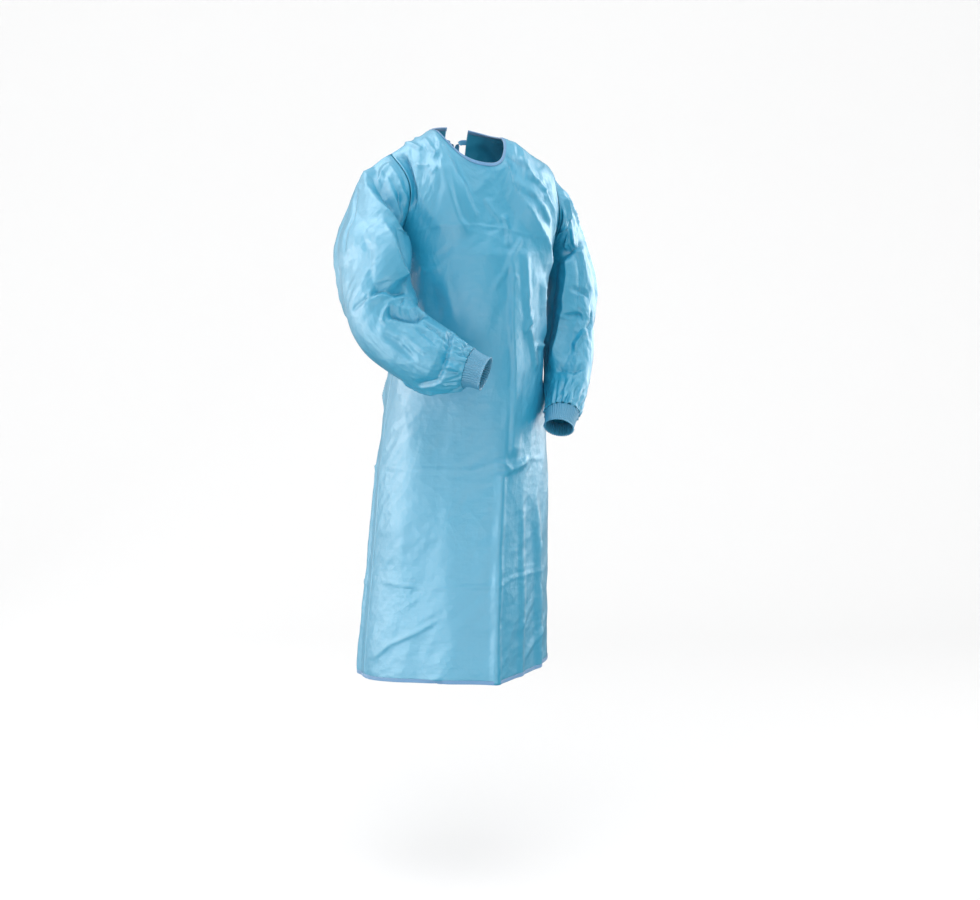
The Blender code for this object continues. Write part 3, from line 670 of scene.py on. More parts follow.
# Front panel: across is the distance from the middle towards the wearer's left, down the depth below z 0
FRONT_CREASES = (
    # Light fold from the neck to the left armhole, and the crumples on that shoulder
    Crease(((0.034, 0.036), (0.054, 0.099), (0.086, 0.15), (0.116, 0.2), (0.136, 0.262)),
            0.0105, (0.026, 0.022), fade=(0.08, 0.15)),
    Crease(((0.047, 0.024), (0.066, 0.041), (0.084, 0.053), (0.094, 0.068)), -0.0045, (0.006, 0.007),
            Form.SHARP),
    Crease(((0.078, 0.022), (0.082, 0.045), (0.094, 0.068), (0.119, 0.086)), 0.005, (0.01, 0.006),
            Form.SHARP),
    Crease(((0.045, 0.067), (0.06, 0.101), (0.09, 0.128)), -0.0035, (0.006, 0.009), Form.SHARP),
    Crease(((0.074, 0.09), (0.104, 0.12), (0.13, 0.165)), 0.004, (0.008, 0.01)),
    Crease(((0.084, 0.11), (0.092, 0.135), (0.118, 0.16)), -0.003, (0.006, 0.006), Form.SHARP),
    Crease(((0.101, 0.067), (0.118, 0.09), (0.128, 0.115), (0.137, 0.135), (0.142, 0.195)),
            0.004, (0.01, 0.005)),
    Crease(((-0.015, 0.107), (-0.002, 0.131), (0.018, 0.159)), 0.0035, (0.006, 0.014), Form.SHARP),
    Crease(((0.018, 0.138), (0.024, 0.152), (0.027, 0.169), (0.025, 0.187), (0.021, 0.205)),
            0.005, (0.005, 0.012)),
    # Tuck beside the right armhole, and the long folds that run down from that shoulder
    Crease(((-0.1425, 0.026), (-0.1405, 0.062), (-0.1375, 0.092), (-0.1385, 0.112), (-0.143, 0.14)),
            -0.012, (0.018, 0.0035), fade=(0.08, 0.3)),
    Crease(((-0.132, 0.06), (-0.131, 0.099), (-0.12, 0.13), (-0.103, 0.164), (-0.086, 0.192)),
            0.0045, (0.016, 0.02), fade=(0.2, 0.4)),
    Crease(((-0.087, 0.026), (-0.089, 0.069), (-0.081, 0.115), (-0.07, 0.15), (-0.046, 0.182)),
            0.0085, (0.038, 0.012)),
    Crease(((-0.058, 0.06), (-0.05, 0.11), (-0.028, 0.16)), 0.0045, (0.022, 0.012), fade=(0.3, 0.3)),
    Crease(((-0.112, 0.068), (-0.096, 0.055)), 0.004, (0.006, 0.006), Form.SHARP),
    Crease(((-0.134, 0.05), (-0.108, 0.05)), 0.0035, (0.006, 0.004), Form.SHARP),
    Crease(((-0.136, 0.013), (-0.125, 0.01), (-0.112, 0.022)), 0.005, (0.008, 0.006), Form.SHARP),
    Crease(((-0.101, -0.006), (-0.1, 0.01), (-0.092, 0.034)), 0.005, (0.008, 0.006), Form.SHARP),
    Crease(((-0.08, 0.0), (-0.09, 0.024), (-0.106, 0.04)), 0.004, (0.007, 0.008), Form.SHARP),
    # Folds across that the packing left
    Crease(((-0.142, 0.172), (-0.103, 0.16), (-0.033, 0.16), (0.018, 0.166), (0.073, 0.179),
            (0.122, 0.184)), 0.0014, (0.006, 0.0028), fade=(0.05, 0.05)),
    Crease(((-0.186, 0.62), (-0.061, 0.619), (-0.009, 0.603), (0.066, 0.603), (0.12, 0.612)),
            0.0015, (0.006, 0.0028), fade=(0.05, 0.05)),
    Crease(((-0.206, 0.841), (-0.142, 0.845), (-0.018, 0.835), (0.01, 0.825), (0.13, 0.828)),
            0.0015, (0.006, 0.0028), fade=(0.05, 0.05)),
    Crease(((0.077, 0.386), (0.122, 0.392)), 0.005, (0.012, 0.005)),
    # Folds down the middle
    Crease(((0.027, 0.208), (0.028, 0.255), (0.025, 0.3), (0.023, 0.345), (0.028, 0.43), (0.02, 0.508),
            (0.014, 0.598)), 0.007, (0.006, 0.026), fade=(0.08, 0.05)),
    Crease(((0.06, 0.2), (0.06, 0.255), (0.061, 0.3), (0.068, 0.38)), 0.007, (0.014, 0.012)),
    Crease(((0.057, 0.182), (0.041, 0.204), (0.027, 0.22), (0.013, 0.25), (-0.017, 0.288)),
            0.004, (0.008, 0.007), fade=(0.1, 0.3)),
    Crease(((0.024, 0.255), (0.041, 0.261)), 0.0035, (0.006, 0.005), Form.SHARP),
    Crease(((0.081, 0.321), (0.064, 0.346), (0.05, 0.368)), 0.005, (0.009, 0.008), Form.SHARP),
    Crease(((0.064, 0.351), (0.076, 0.397), (0.084, 0.445)), 0.0065, (0.006, 0.018)),
    Crease(((0.109, 0.25), (0.111, 0.316), (0.126, 0.392)), 0.006, (0.016, 0.01)),
    Crease(((-0.118, 0.24), (-0.112, 0.29), (-0.098, 0.36)), -0.0075, (0.026, 0.022),
            Form.SOFT, (0.5, 0.5)),
    Crease(((-0.095, 0.24), (-0.081, 0.311), (-0.074, 0.352)), 0.0024, (0.014, 0.004), fade=(0.4, 0.4)),
    Crease(((-0.128, 0.251), (-0.1, 0.24)), 0.0026, (0.006, 0.006), Form.SHARP),
    Crease(((-0.003, 0.617), (-0.006, 0.639), (-0.017, 0.77), (-0.024, 0.901), (-0.027, 1.03)),
            0.0058, (0.014, 0.009), fade=(0.05, 0.0)),
    Crease(((-0.02, 0.598), (0.015, 0.618), (0.066, 0.603)), 0.0065, (0.012, 0.009)),
    Crease(((0.015, 0.618), (-0.012, 0.634)), 0.005, (0.009, 0.006), Form.SHARP),
    Crease(((-0.221, 1.005), (-0.192, 0.961), (-0.15, 0.931), (-0.112, 0.899)), 0.0026, (0.004, 0.007)),
    Crease(((0.097, 0.866), (0.023, 0.946)), 0.0024, (0.012, 0.008), fade=(0.3, 0.3)),
    Crease(((0.145, 0.921), (0.039, 1.002)), 0.0026, (0.012, 0.008), fade=(0.3, 0.3)),
    Crease(((-0.161, 0.44), (-0.151, 0.567), (-0.158, 0.679), (-0.169, 0.796), (-0.18, 0.96)),
            0.0085, (0.045, 0.05), Form.SOFT, (0.3, 0.5)),
    Crease(((0.085, 0.64), (0.098, 0.85), (0.105, 1.025)), 0.0085, (0.02, 0.018), Form.SOFT, (0.3, 0.0)),
    Crease(((0.045, 0.64), (0.044, 0.85), (0.042, 1.025)), 0.0045, (0.013, 0.012), Form.SOFT, (0.3, 0.0)),
    Crease(((-0.095, 0.64), (-0.105, 0.85), (-0.11, 1.025)), 0.0045, (0.05, 0.045), Form.SOFT, (0.3, 0.0)),
    Crumple((0.095, 0.08), (0.06, 0.09), 0.0046, 0.017, 1.8, 42.0),
    Crumple((-0.11, 0.045), (0.05, 0.07), 0.004, 0.016, 1.7, -50.0),
    Crumple((-0.01, 0.172), (0.05, 0.022), 0.0026, 0.012, 2.2, 10.0),
    Crumple((0.02, 0.612), (0.06, 0.026), 0.003, 0.014, 1.6, 0.0),
    Crumple((0.07, 0.29), (0.06, 0.14), 0.0024, 0.024, 2.4, 82.0),
)
# Sleeves: across is the distance round from the outer side over the front, down that below the armhole
RIGHT_SLEEVE_CREASES = (
    # Cap: a zigzag crest, the strip beside the armhole, and the long diagonal fold to the inner elbow
    Crease(((0.035, 0.008), (0.067, 0.01), (0.09, 0.013), (0.105, 0.017), (0.14, 0.012)),
            0.0065, (0.01, 0.008)),
    Crease(((-0.005, 0.03), (0.03, 0.035), (0.055, 0.033), (0.046, 0.016), (0.04, 0.006)),
            0.007, (0.012, 0.012)),
    Crease(((-0.004, 0.034), (0.032, 0.045), (0.07, 0.064), (0.095, 0.076), (0.125, 0.092), (0.155, 0.112),
            (0.178, 0.135), (0.186, 0.165)), 0.018, (0.034, 0.016), fade=(0.5, 0.2)),
    Crease(((0.02, 0.028), (0.07, 0.048), (0.102, 0.058), (0.145, 0.08)), -0.009, (0.01, 0.016)),
    Crease(((0.052, 0.014), (0.082, 0.03), (0.111, 0.044), (0.15, 0.056)), 0.0055, (0.012, 0.009)),
    Crease(((0.095, 0.02), (0.12, 0.036), (0.155, 0.04)), -0.006, (0.008, 0.007)),
    Crease(((0.009, 0.05), (0.03, 0.092), (0.02, 0.136)), -0.0055, (0.006, 0.008), Form.SHARP),
    Crease(((0.09, 0.082), (0.106, 0.112), (0.114, 0.15), (0.132, 0.174), (0.162, 0.197)),
            0.022, (0.04, 0.022), fade=(0.35, 0.15)),
    # Elbow
    Crease(((0.096, 0.217), (0.108, 0.214), (0.122, 0.214), (0.149, 0.224), (0.174, 0.217)),
            -0.0095, (0.006, 0.017)),
    Crease(((0.05, 0.219), (0.082, 0.218), (0.1, 0.214)), -0.0045, (0.006, 0.008), Form.SHARP),
    Crease(((0.122, 0.254), (0.134, 0.257), (0.149, 0.274), (0.163, 0.286), (0.21, 0.286)),
            -0.016, (0.007, 0.018), fade=(0.15, 0.15)),
    Crease(((0.11, 0.258), (0.126, 0.247), (0.139, 0.24)), 0.0065, (0.008, 0.007), Form.SHARP),
    Crease(((0.172, 0.23), (0.158, 0.258), (0.152, 0.27)), -0.0035, (0.005, 0.006), Form.SHARP),
    Crease(((0.172, 0.292), (0.177, 0.325), (0.169, 0.362)), -0.0055, (0.01, 0.006)),
    Crease(((0.128, 0.264), (0.128, 0.3), (0.117, 0.355)), 0.0045, (0.012, 0.014), Form.SOFT, (0.4, 0.4)),
    Crease(((0.143, 0.285), (0.152, 0.313), (0.14, 0.358)), -0.005, (0.01, 0.01), Form.SOFT, (0.4, 0.4)),
    Crease(((0.099, 0.253), (0.105, 0.285), (0.093, 0.33)), -0.0045, (0.012, 0.012), Form.SOFT, (0.4, 0.4)),
    # Drawn-in end
    Crease(((0.03, 0.328), (0.055, 0.349), (0.067, 0.361), (0.093, 0.366), (0.125, 0.369), (0.166, 0.366),
            (0.222, 0.35)), -0.009, (0.005, 0.016), fade=(0.1, 0.1)),
    Crease(((0.16, 0.372), (0.16, 0.386), (0.219, 0.389)), -0.004, (0.006, 0.006), Form.SHARP),
    Crease(((0.16, 0.385), (0.14, 0.4)), 0.0045, (0.006, 0.005), Form.SHARP),
    Crease(((0.11, 0.372), (0.092, 0.402)), 0.005, (0.007, 0.005)),
    Crease(((0.06, 0.366), (0.058, 0.402)), 0.005, (0.007, 0.006)),
    Crease(((0.0315, 0.304), (0.014, 0.322), (0.026, 0.364)), 0.005, (0.01, 0.01), Form.SHARP),
    # Outer side and back
    Crease(((0.395, 0.06), (0.385, 0.14), (0.395, 0.23)), 0.008, (0.016, 0.02)),
    Crease(((0.33, 0.04), (0.35, 0.11), (0.38, 0.19)), 0.011, (0.02, 0.016)),
    Crease(((0.285, 0.02), (0.3, 0.09), (0.29, 0.15)), 0.008, (0.018, 0.02)),
    Crease(((0.28, 0.185), (0.33, 0.215), (0.395, 0.228)), -0.0075, (0.008, 0.016)),
    Crease(((0.26, 0.23), (0.31, 0.262), (0.38, 0.275)), -0.006, (0.008, 0.014)),
    Crease(((0.27, 0.29), (0.32, 0.305), (0.37, 0.345)), 0.0065, (0.014, 0.012)),
    Crumple((0.03, 0.035), (0.09, 0.045), 0.0042, 0.018, 1.5, 30.0),
    Crumple((0.12, 0.238), (0.09, 0.05), 0.0042, 0.02, 1.5, 20.0),
    Crumple((0.12, 0.382), (0.21, 0.03), 0.0044, 0.013, 1.4, 90.0),
    Crumple((0.05, 0.12), (0.07, 0.08), 0.0022, 0.026, 2.0, 75.0),
    Crumple((0.33, 0.22), (0.08, 0.14), 0.004, 0.024, 1.5, 40.0),
)
LEFT_SLEEVE_CREASES = (
    # Cap: the strip sunk beside the armhole and the facets under it
    Crease(((0.03, 0.009), (0.085, 0.009), (0.14, 0.009), (0.195, 0.009)), -0.011, (0.014, 0.008)),
    Crease(((0.086, 0.018), (0.09, 0.04), (0.105, 0.062)), 0.007, (0.014, 0.012)),
    Crease(((0.114, 0.062), (0.15, 0.046), (0.184, 0.034)), 0.005, (0.006, 0.005)),
    Crease(((0.114, 0.062), (0.124, 0.078), (0.152, 0.106)), 0.006, (0.006, 0.006)),
    Crease(((0.106, 0.066), (0.114, 0.104)), 0.007, (0.014, 0.008)),
    Crease(((0.04, 0.103), (0.08, 0.104), (0.117, 0.107), (0.166, 0.119)), -0.01, (0.007, 0.015)),
    Crease(((0.056, 0.02), (0.058, 0.052), (0.044, 0.09)), 0.0055, (0.01, 0.008)),
    # Fold between the lit outer side and the dark inner side
    Crease(((0.143, 0.115), (0.14, 0.151), (0.143, 0.181), (0.152, 0.217), (0.166, 0.241), (0.184, 0.28),
            (0.198, 0.31), (0.204, 0.335)), 0.02, (0.026, 0.036), fade=(0.08, 0.15)),
    Crease(((0.08, 0.192), (0.099, 0.187), (0.139, 0.181)), -0.006, (0.005, 0.01)),
    Crease(((0.112, 0.231), (0.128, 0.227), (0.158, 0.231)), -0.008, (0.014, 0.005)),
    Crease(((0.104, 0.262), (0.125, 0.275), (0.158, 0.303)), 0.0075, (0.008, 0.012)),
    Crease(((0.068, 0.212), (0.08, 0.24), (0.11, 0.262)), -0.006, (0.008, 0.01)),
    Crease(((0.111, 0.331), (0.149, 0.343), (0.208, 0.333)), -0.0065, (0.006, 0.012)),
    Crease(((0.02, 0.06), (0.04, 0.12), (0.035, 0.21)), 0.005, (0.014, 0.01)),
    # Outer side and back
    Crease(((0.33, 0.05), (0.35, 0.13), (0.37, 0.2)), 0.01, (0.018, 0.014)),
    Crease(((0.285, 0.02), (0.298, 0.09), (0.286, 0.16)), 0.008, (0.018, 0.018)),
    Crease(((0.3, 0.2), (0.34, 0.228), (0.395, 0.235)), -0.007, (0.008, 0.015)),
    Crease(((0.27, 0.25), (0.32, 0.272), (0.38, 0.268)), -0.006, (0.008, 0.013)),
    Crease(((0.01, 0.28), (0.03, 0.32), (0.02, 0.37)), 0.005, (0.01, 0.01)),
    Crumple((0.09, 0.05), (0.09, 0.05), 0.0036, 0.018, 1.5, 40.0),
    Crumple((0.13, 0.23), (0.08, 0.08), 0.0034, 0.02, 1.5, 30.0),
    Crumple((0.12, 0.382), (0.21, 0.03), 0.004, 0.013, 1.4, 90.0),
    Crumple((0.33, 0.2), (0.08, 0.14), 0.0038, 0.022, 1.5, 40.0),
)
# Back panels: across is the distance from the open edge towards the side seam, down that below the top
BACK_CREASES = (
    Crease(((0.01, 0.19), (0.09, 0.176), (0.2, 0.186)), 0.0024, (0.008, 0.004), fade=(0.1, 0.1)),
    Crease(((0.006, 0.652), (0.1, 0.662), (0.215, 0.655)), 0.0026, (0.009, 0.005), fade=(0.1, 0.1)),
    Crease(((0.01, 0.882), (0.1, 0.874), (0.215, 0.88)), 0.0024, (0.009, 0.005), fade=(0.1, 0.1)),
    Crease(((0.05, 0.425), (0.11, 0.4), (0.18, 0.388)), 0.0065, (0.014, 0.009)),
    Crease(((0.05, 0.445), (0.12, 0.475), (0.185, 0.545)), 0.0065, (0.012, 0.014)),
    Crease(((0.045, 0.455), (0.074, 0.56), (0.08, 0.7)), 0.007, (0.014, 0.02)),
    Crease(((0.03, 0.05), (0.07, 0.15), (0.08, 0.29)), 0.0075, (0.02, 0.013)),
    Crease(((0.11, 0.02), (0.12, 0.09), (0.15, 0.16)), 0.006, (0.012, 0.01)),
    Crease(((0.06, 0.03), (0.1, 0.07), (0.168, 0.1)), -0.0045, (0.008, 0.008)),
    Crease(((0.14, 0.18), (0.12, 0.26), (0.15, 0.34)), 0.006, (0.018, 0.012)),
    Crease(((0.1, 0.64), (0.108, 0.85), (0.116, 1.066)), 0.0085, (0.022, 0.026), Form.SOFT, (0.3, 0.0)),
    Crease(((0.18, 0.56), (0.186, 0.8), (0.19, 1.066)), 0.007, (0.018, 0.018), Form.SOFT, (0.3, 0.0)),
    Crease(((0.04, 0.76), (0.044, 0.9), (0.046, 1.066)), 0.005, (0.014, 0.012), Form.SOFT, (0.3, 0.0)),
    Crease(((0.2, 0.33), (0.15, 0.3), (0.1, 0.31)), 0.0045, (0.01, 0.012), Form.SHARP),
    Crumple((0.13, 0.08), (0.09, 0.09), 0.0038, 0.018, 1.6, 40.0),
    Crumple((0.07, 0.44), (0.09, 0.07), 0.0036, 0.018, 1.6, 10.0),
    Crumple((0.13, 0.3), (0.09, 0.12), 0.0024, 0.026, 2.0, 70.0),
)


def stops(low: float, high: float, count: int, close: tuple[float, ...] = (),
          far: tuple[float, ...] = ()) -> Points:
    """Even parameters from low to high, with extra ones at small distances from either end.

    Args:
        low: First parameter.
        high: Last parameter.
        count: Number of even steps.
        close: Distances of extra ones from the first.
        far: Distances of extra ones from the last.

    Returns:
        The parameters in order.
    """
    even = np.linspace(low, high, count + 1)
    extra = [low + step for step in close] + [high - step for step in far]
    return np.unique(np.concatenate([even, np.array(extra, float)]))


@dataclass(frozen=True)
class Sheet:
    """A grid of points on a piece of cloth with its places in metres across and down it."""

    points: Points
    across: Points
    down: Points
    closed: bool = False

    def normals(self) -> Points:
        """Unit normals at the points, as down crossed with across.

        Returns:
            One normal for each point.
        """
        points = self.points
        if self.closed:
            ring = points[:, :-1]
            over = np.roll(ring, -1, axis=1) - np.roll(ring, 1, axis=1)
            over = np.concatenate([over, over[:, :1]], axis=1)
        else:
            over = np.gradient(points, axis=1)
        return unit(np.cross(np.gradient(points, axis=0), over))

    def moved(self, move: Points, outward: Points) -> "Sheet":
        """The sheet with its points moved along the normals that face outward.

        Args:
            move: Distance that each point moves.
            outward: Rough outward direction at each point.

        Returns:
            The moved sheet.
        """
        normals = self.normals()
        normals = normals * np.sign(dot(normals, outward))
        return Sheet(self.points + normals * move[..., None], self.across, self.down, self.closed)

    def mesh(self, name: str, outward: Points) -> Mesh:
        """The sheet as a mesh with its places in metres as its map, its faces towards outward.

        Args:
            name: Name of the mesh.
            outward: Direction that each point's face is to look in, roughly.

        Returns:
            The mesh, with a tube's two sides joined.
        """
        rows, columns = self.across.shape[0] - 1, self.across.shape[1] - 1
        grid = bmesh.new()
        layer = grid.loops.layers.uv.new("cloth")
        bmesh.ops.create_grid(grid, x_segments=columns, y_segments=rows, size=0.5)
        plan = [(round((0.5 - v.co.y) * rows), round((v.co.x + 0.5) * columns)) for v in grid.verts]
        for vertex, spot in zip(grid.verts, plan):
            vertex.co = self.points[spot]
        for face in grid.faces:
            for loop in face.loops:
                spot = plan[loop.vert.index]
                loop[layer].uv = (self.across[spot], self.down[spot])
        grid.normal_update()
        looks = sum(v.normal.dot(Vector(outward[spot])) for v, spot in zip(grid.verts, plan))
        if looks < 0.0:
            bmesh.ops.reverse_faces(grid, faces=grid.faces)
        if self.closed:
            bmesh.ops.remove_doubles(grid, verts=grid.verts, dist=1e-6)
        mesh = bpy.data.meshes.new(name)
        grid.to_mesh(mesh)
        grid.free()
        mesh.shade_smooth()
        return mesh


def add_piece(name: str, mesh: Mesh, material: Material,
              stands_for: tuple[str, ...] = ()) -> Piece:
    """Put a finished piece on the frame.

    Args:
        name: Name of the piece.
        mesh: Its mesh, already in place.
        material: Its finish.
        stands_for: CAD nodes that the piece replaces.

    Returns:
        The piece.
    """
    mesh.name = name
    mesh.materials.clear()
    mesh.materials.append(material)
    piece = bpy.data.objects.new(name, mesh)
    bpy.context.scene.collection.objects.link(piece)
    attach(piece, "root")
    if stands_for:
        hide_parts(*stands_for)
    LOG.info("%s: %d faces", name, len(mesh.polygons))
    return piece


def sew(name: str, sheet: Sheet, outward: Points, material: Material,
        stands_for: tuple[str, ...], wall: float = CLOTH_WALL, offset: float = -1.0) -> Piece:
    """Make a sheet of cloth into a piece with a thickness.

    Args:
        name: Name of the piece.
        sheet: The sheet.
        outward: Direction that each point's face is to look in, roughly.
        material: Its finish.
        stands_for: CAD nodes that the piece replaces.
        wall: Its thickness.
        offset: -1 where the thickness lies inside the sheet, or 0 where it lies on both sides.

    Returns:
        The piece.
    """
    piece = add_piece(name, sheet.mesh(name, outward), material, stands_for)
    solid = piece.modifiers.new("thickness", "SOLIDIFY")
    solid.thickness = wall
    solid.offset = offset
    return piece


# Shares at which extra columns and rows lie beside the side seams, the armholes and the top seams
SIDE_SEAM = (0.004, 0.010, 0.020)
TOP_SEAM = (0.008, 0.016)
ARMHOLE_STEPS = tuple(0.008 * step for step in range(1, 15))
# Shares over which those seams draw the cloth in, and how the outward directions lean and rise
SIDE_SEAM_REACH = 0.015
TOP_SEAM_REACH = 0.016
LEAN = 0.05
RISE = 0.25


def piece_rows(upper: int, lower: int, close: Place) -> Points:
    """Rows 0 to 1 of a piece's upper part and 1 to 2 of its lower part, with two close to its top seam."""
    return np.concatenate([stops(0.0, 1.0, upper, close), stops(1.0, 2.0, lower)[1:]])


def panel_down(row: Points) -> Points:
    """Distance down a panel at its rows, 0 at the top, 1 at the underarm and 2 at the hem."""
    return np.where(row < 1.0, YOKE_DEPTH * row, YOKE_DEPTH + SKIRT_LENGTH * (row - 1.0))


def over_shoulder(points: Points, side: int) -> Points:
    """Rough outward directions of the front (side -1) or the back (side 1), and up over the shoulder."""
    return stack(points[..., 0], points[..., 1] + LEAN * side, RISE)


def drawn_in(distance: Points, reach: float) -> Points:
    """How far a seam draws the cloth in, at distances from it."""
    return SEAM_DEPTH * np.clip(1.0 - distance / reach, 0.0, 1.0) ** 2


@dataclass(frozen=True)
class FrontPanel:
    """The front panel of the apron."""

    columns: int = 140
    yoke_rows: int = 84
    body_rows: int = 197
    width: float = 0.56
    # Shares over which the creases grow from the side seams and the top, and where the shoulder starts
    free_side: float = 0.05
    free_top: float = 0.08
    shoulder: Place = (0.45, 0.5)
    wear: Wear = Wear(0.085, 3.0, (1.0, 4.0))

    def sheet(self) -> Sheet:
        """The panel's cloth with its creases.

        Returns:
            The cloth's grid of points.
        """
        shares = stops(-1.0, 1.0, self.columns, SIDE_SEAM + ARMHOLE_STEPS, SIDE_SEAM + ARMHOLE_STEPS)
        rows = piece_rows(self.yoke_rows, self.body_rows, TOP_SEAM)
        row, share = np.meshgrid(rows, shares, indexing="ij")
        points = BODY.front(share, row)
        x, out = points[..., 0], np.abs(share)
        across, down = 0.5 * self.width * share, panel_down(row)
        free = smooth_step(1.0 - out, 0.0, self.free_side) * smooth_step(row, 0.0, self.free_top)
        move = free * lifts(FRONT_CREASES, x, -points[..., 2])
        move += free * self.wear.swelling(points)
        move += free * self.wear.facet_lift(x, down, across)
        move -= drawn_in(1.0 - out, SIDE_SEAM_REACH)
        move -= drawn_in(row, TOP_SEAM_REACH) * smooth_step(out, *self.shoulder)
        return Sheet(points, across, down).moved(move, over_shoulder(points, -1))

    def build(self, material: Material) -> tuple[Piece, Sheet]:
        """Build the panel.

        Args:
            material: The cloth's finish.

        Returns:
            The piece and its sheet.
        """
        sheet = self.sheet()
        outward = over_shoulder(sheet.points, -1)
        return sew("front_cloth", sheet, outward, material, ("front_panel",)), sheet


@dataclass(frozen=True)
class BackPanel:
    """One half of the open back."""

    side: int
    word: str
    columns: int = 56
    yoke_rows: int = 62
    body_rows: int = 180
    width: float = 0.235
    # Shares over which the creases grow from the open edge, the side seam and the top
    free_open: float = 0.16
    free_side: float = 0.2
    free_top: float = 0.15
    shoulder: Place = (0.4, 0.45)
    # How far each half's creases lie from the middle of the two halves'
    slip: Place = (0.004, 0.011)

    def sheet(self) -> Sheet:
        """The panel's cloth with its creases.

        Returns:
            The cloth's grid of points.
        """
        wear = Wear(0.080, 5.0 * self.side, (2.0 + self.side, 6.0 + self.side))
        shares = stops(0.0, 1.0, self.columns, (), SIDE_SEAM)
        rows = piece_rows(self.yoke_rows, self.body_rows, TOP_SEAM)
        row, share = np.meshgrid(rows, shares, indexing="ij")
        points = BODY.back(self.side, share, row)
        across, down = self.width * share, panel_down(row)
        free = (smooth_step(share, 0.0, self.free_open) * smooth_step(1.0 - share, 0.0, self.free_side)
                * smooth_step(row, 0.0, self.free_top))
        move = free * lifts(BACK_CREASES, across + self.slip[0] * self.side, down + self.slip[1] * self.side)
        move += free * wear.swelling(points)
        move += free * wear.facet_lift(across, down, across)
        move -= drawn_in(1.0 - share, SIDE_SEAM_REACH)
        move -= drawn_in(row, TOP_SEAM_REACH) * smooth_step(share, *self.shoulder)
        return Sheet(points, across, down).moved(move, over_shoulder(points, 1))

    def build(self, material: Material) -> tuple[Piece, Sheet]:
        """Build the panel.

        Args:
            material: The cloth's finish.

        Returns:
            The piece and its sheet.
        """
        sheet = self.sheet()
        name, replaced = "back_cloth_" + self.word, ("back_panel_" + self.word,)
        return sew(name, sheet, over_shoulder(sheet.points, 1), material, replaced), sheet


@dataclass(frozen=True)
class Sleeve:
    """A set-in sleeve, gathered at its end."""

    arm: ArmForm
    word: str
    creases: tuple[Crease | Crumple, ...]
    columns: int = 190
    cap_rows: int = 78
    arm_rows: int = 150
    armhole_seam: Place = (0.006, 0.013)
    armhole_seam_reach: float = 0.03
    # Rows over which the creases grow from the armhole and end before the cuff
    free_top: float = 0.07
    free_end: float = 0.04
    gathers: int = 17
    gather_depth: float = 0.0032
    gather_start: float = 1.80
    gather_sway: float = 2.3

    def sheet(self) -> Sheet:
        """The sleeve's cloth with its creases and its gathered end.

        Returns:
            The cloth's grid of points.
        """
        side = self.arm.side
        wear = Wear(0.060, 2.0, (5.0 + side, 8.0 + side), cells=(0.040, 0.017), heights=(0.0022, 0.0007),
                    squeeze=(1.0, 0.7), fine_squeeze=(1.0, 1.0))
        turns = np.linspace(0.0, 1.0, self.columns + 1)
        rows = piece_rows(self.cap_rows, self.arm_rows, self.armhole_seam)
        row, around = np.meshgrid(rows, turns, indexing="ij")
        points = self.arm.sleeve(BODY, around, row)
        across = SLEEVE_GIRTH * around
        down = CAP_LENGTH * np.minimum(row, 1.0) + ARM_LENGTH * np.maximum(0.0, row - 1.0)
        free = smooth_step(row, 0.0, self.free_top) * smooth_step(2.0 - row, 0.0, self.free_end)
        move = free * lifts(self.creases, across, down, SLEEVE_GIRTH)
        move += free * wear.swelling(points)
        move += free * smooth_step(np.abs(around - 0.5), 0.5, 0.44) * wear.facet_lift(across, down, across)
        move += self.gathered(around, row)
        move -= drawn_in(row, self.armhole_seam_reach)
        return Sheet(points, across, down, True).moved(move, self.outward(points, row))

    def gathered(self, around: Points, row: Points) -> Points:
        """How far the gathers at the sleeve's end move the cloth.

        Args:
            around: Shares of the way round the sleeve.
            row: Rows down the sleeve.

        Returns:
            The outward move at each place.
        """
        pull = smooth_step(row, self.gather_start, 2.0)
        uneven = np.sin(TURN * around * self.gathers + self.gather_sway * np.sin(2.0 * TURN * around))
        return self.gather_depth * pull * uneven * (0.6 + 0.4 * np.sin(3.0 * TURN * around + 1.0))

    def outward(self, points: Points, row: Points) -> Points:
        """Directions away from the middle of the arm."""
        return points - self.arm.middle(row)

    def build(self, material: Material) -> tuple[Piece, Sheet]:
        """Build the sleeve.

        Args:
            material: The cloth's finish.

        Returns:
            The piece and its sheet.
        """
        sheet = self.sheet()
        past_cap = sheet.down - CAP_LENGTH
        row = np.where(past_cap <= 0.0, sheet.down / CAP_LENGTH, 1.0 + past_cap / ARM_LENGTH)
        outward = self.outward(sheet.points, row)
        replaced = (f"sleeve_{self.word}_upper", f"sleeve_{self.word}_lower")
        return sew("sleeve_cloth_" + self.word, sheet, outward, material, replaced), sheet


@dataclass(frozen=True)
class Cuff:
    """An elastic cuff, ribbed by the cloth that its elastic draws in."""

    arm: ArmForm
    word: str
    columns: int = 176
    rows: int = 26
    ribs: int = 44
    rib_depth: float = 0.0009
    rib_sway: float = 0.8
    waist: float = 0.0020
    length: float = 0.03
    wall: float = 0.0016

    def build(self, material: Material) -> Piece:
        """Build the cuff.

        Args:
            material: The cuff's finish.

        Returns:
            The piece.
        """
        rows, turns = np.linspace(0.0, 1.0, self.rows + 1), np.linspace(0.0, 1.0, self.columns + 1)
        row, around = np.meshgrid(rows, turns, indexing="ij")
        points = self.arm.cuff(around, row)
        middle = points[:, :-1].mean(axis=1, keepdims=True)
        outward = points - middle
        phase = TURN * around * self.ribs + self.rib_sway * np.sin(3.0 * TURN * around)
        move = self.rib_depth * np.sin(phase) - self.rib_depth
        move -= self.waist * np.sin(math.pi * row) ** 0.5
        sheet = Sheet(points, SLEEVE_GIRTH * 0.5 * around, self.length * row, True).moved(move, outward)
        name, replaced = "cuff_cloth_" + self.word, ("cuff_" + self.word,)
        return sew(name, sheet, outward, material, replaced, self.wall)


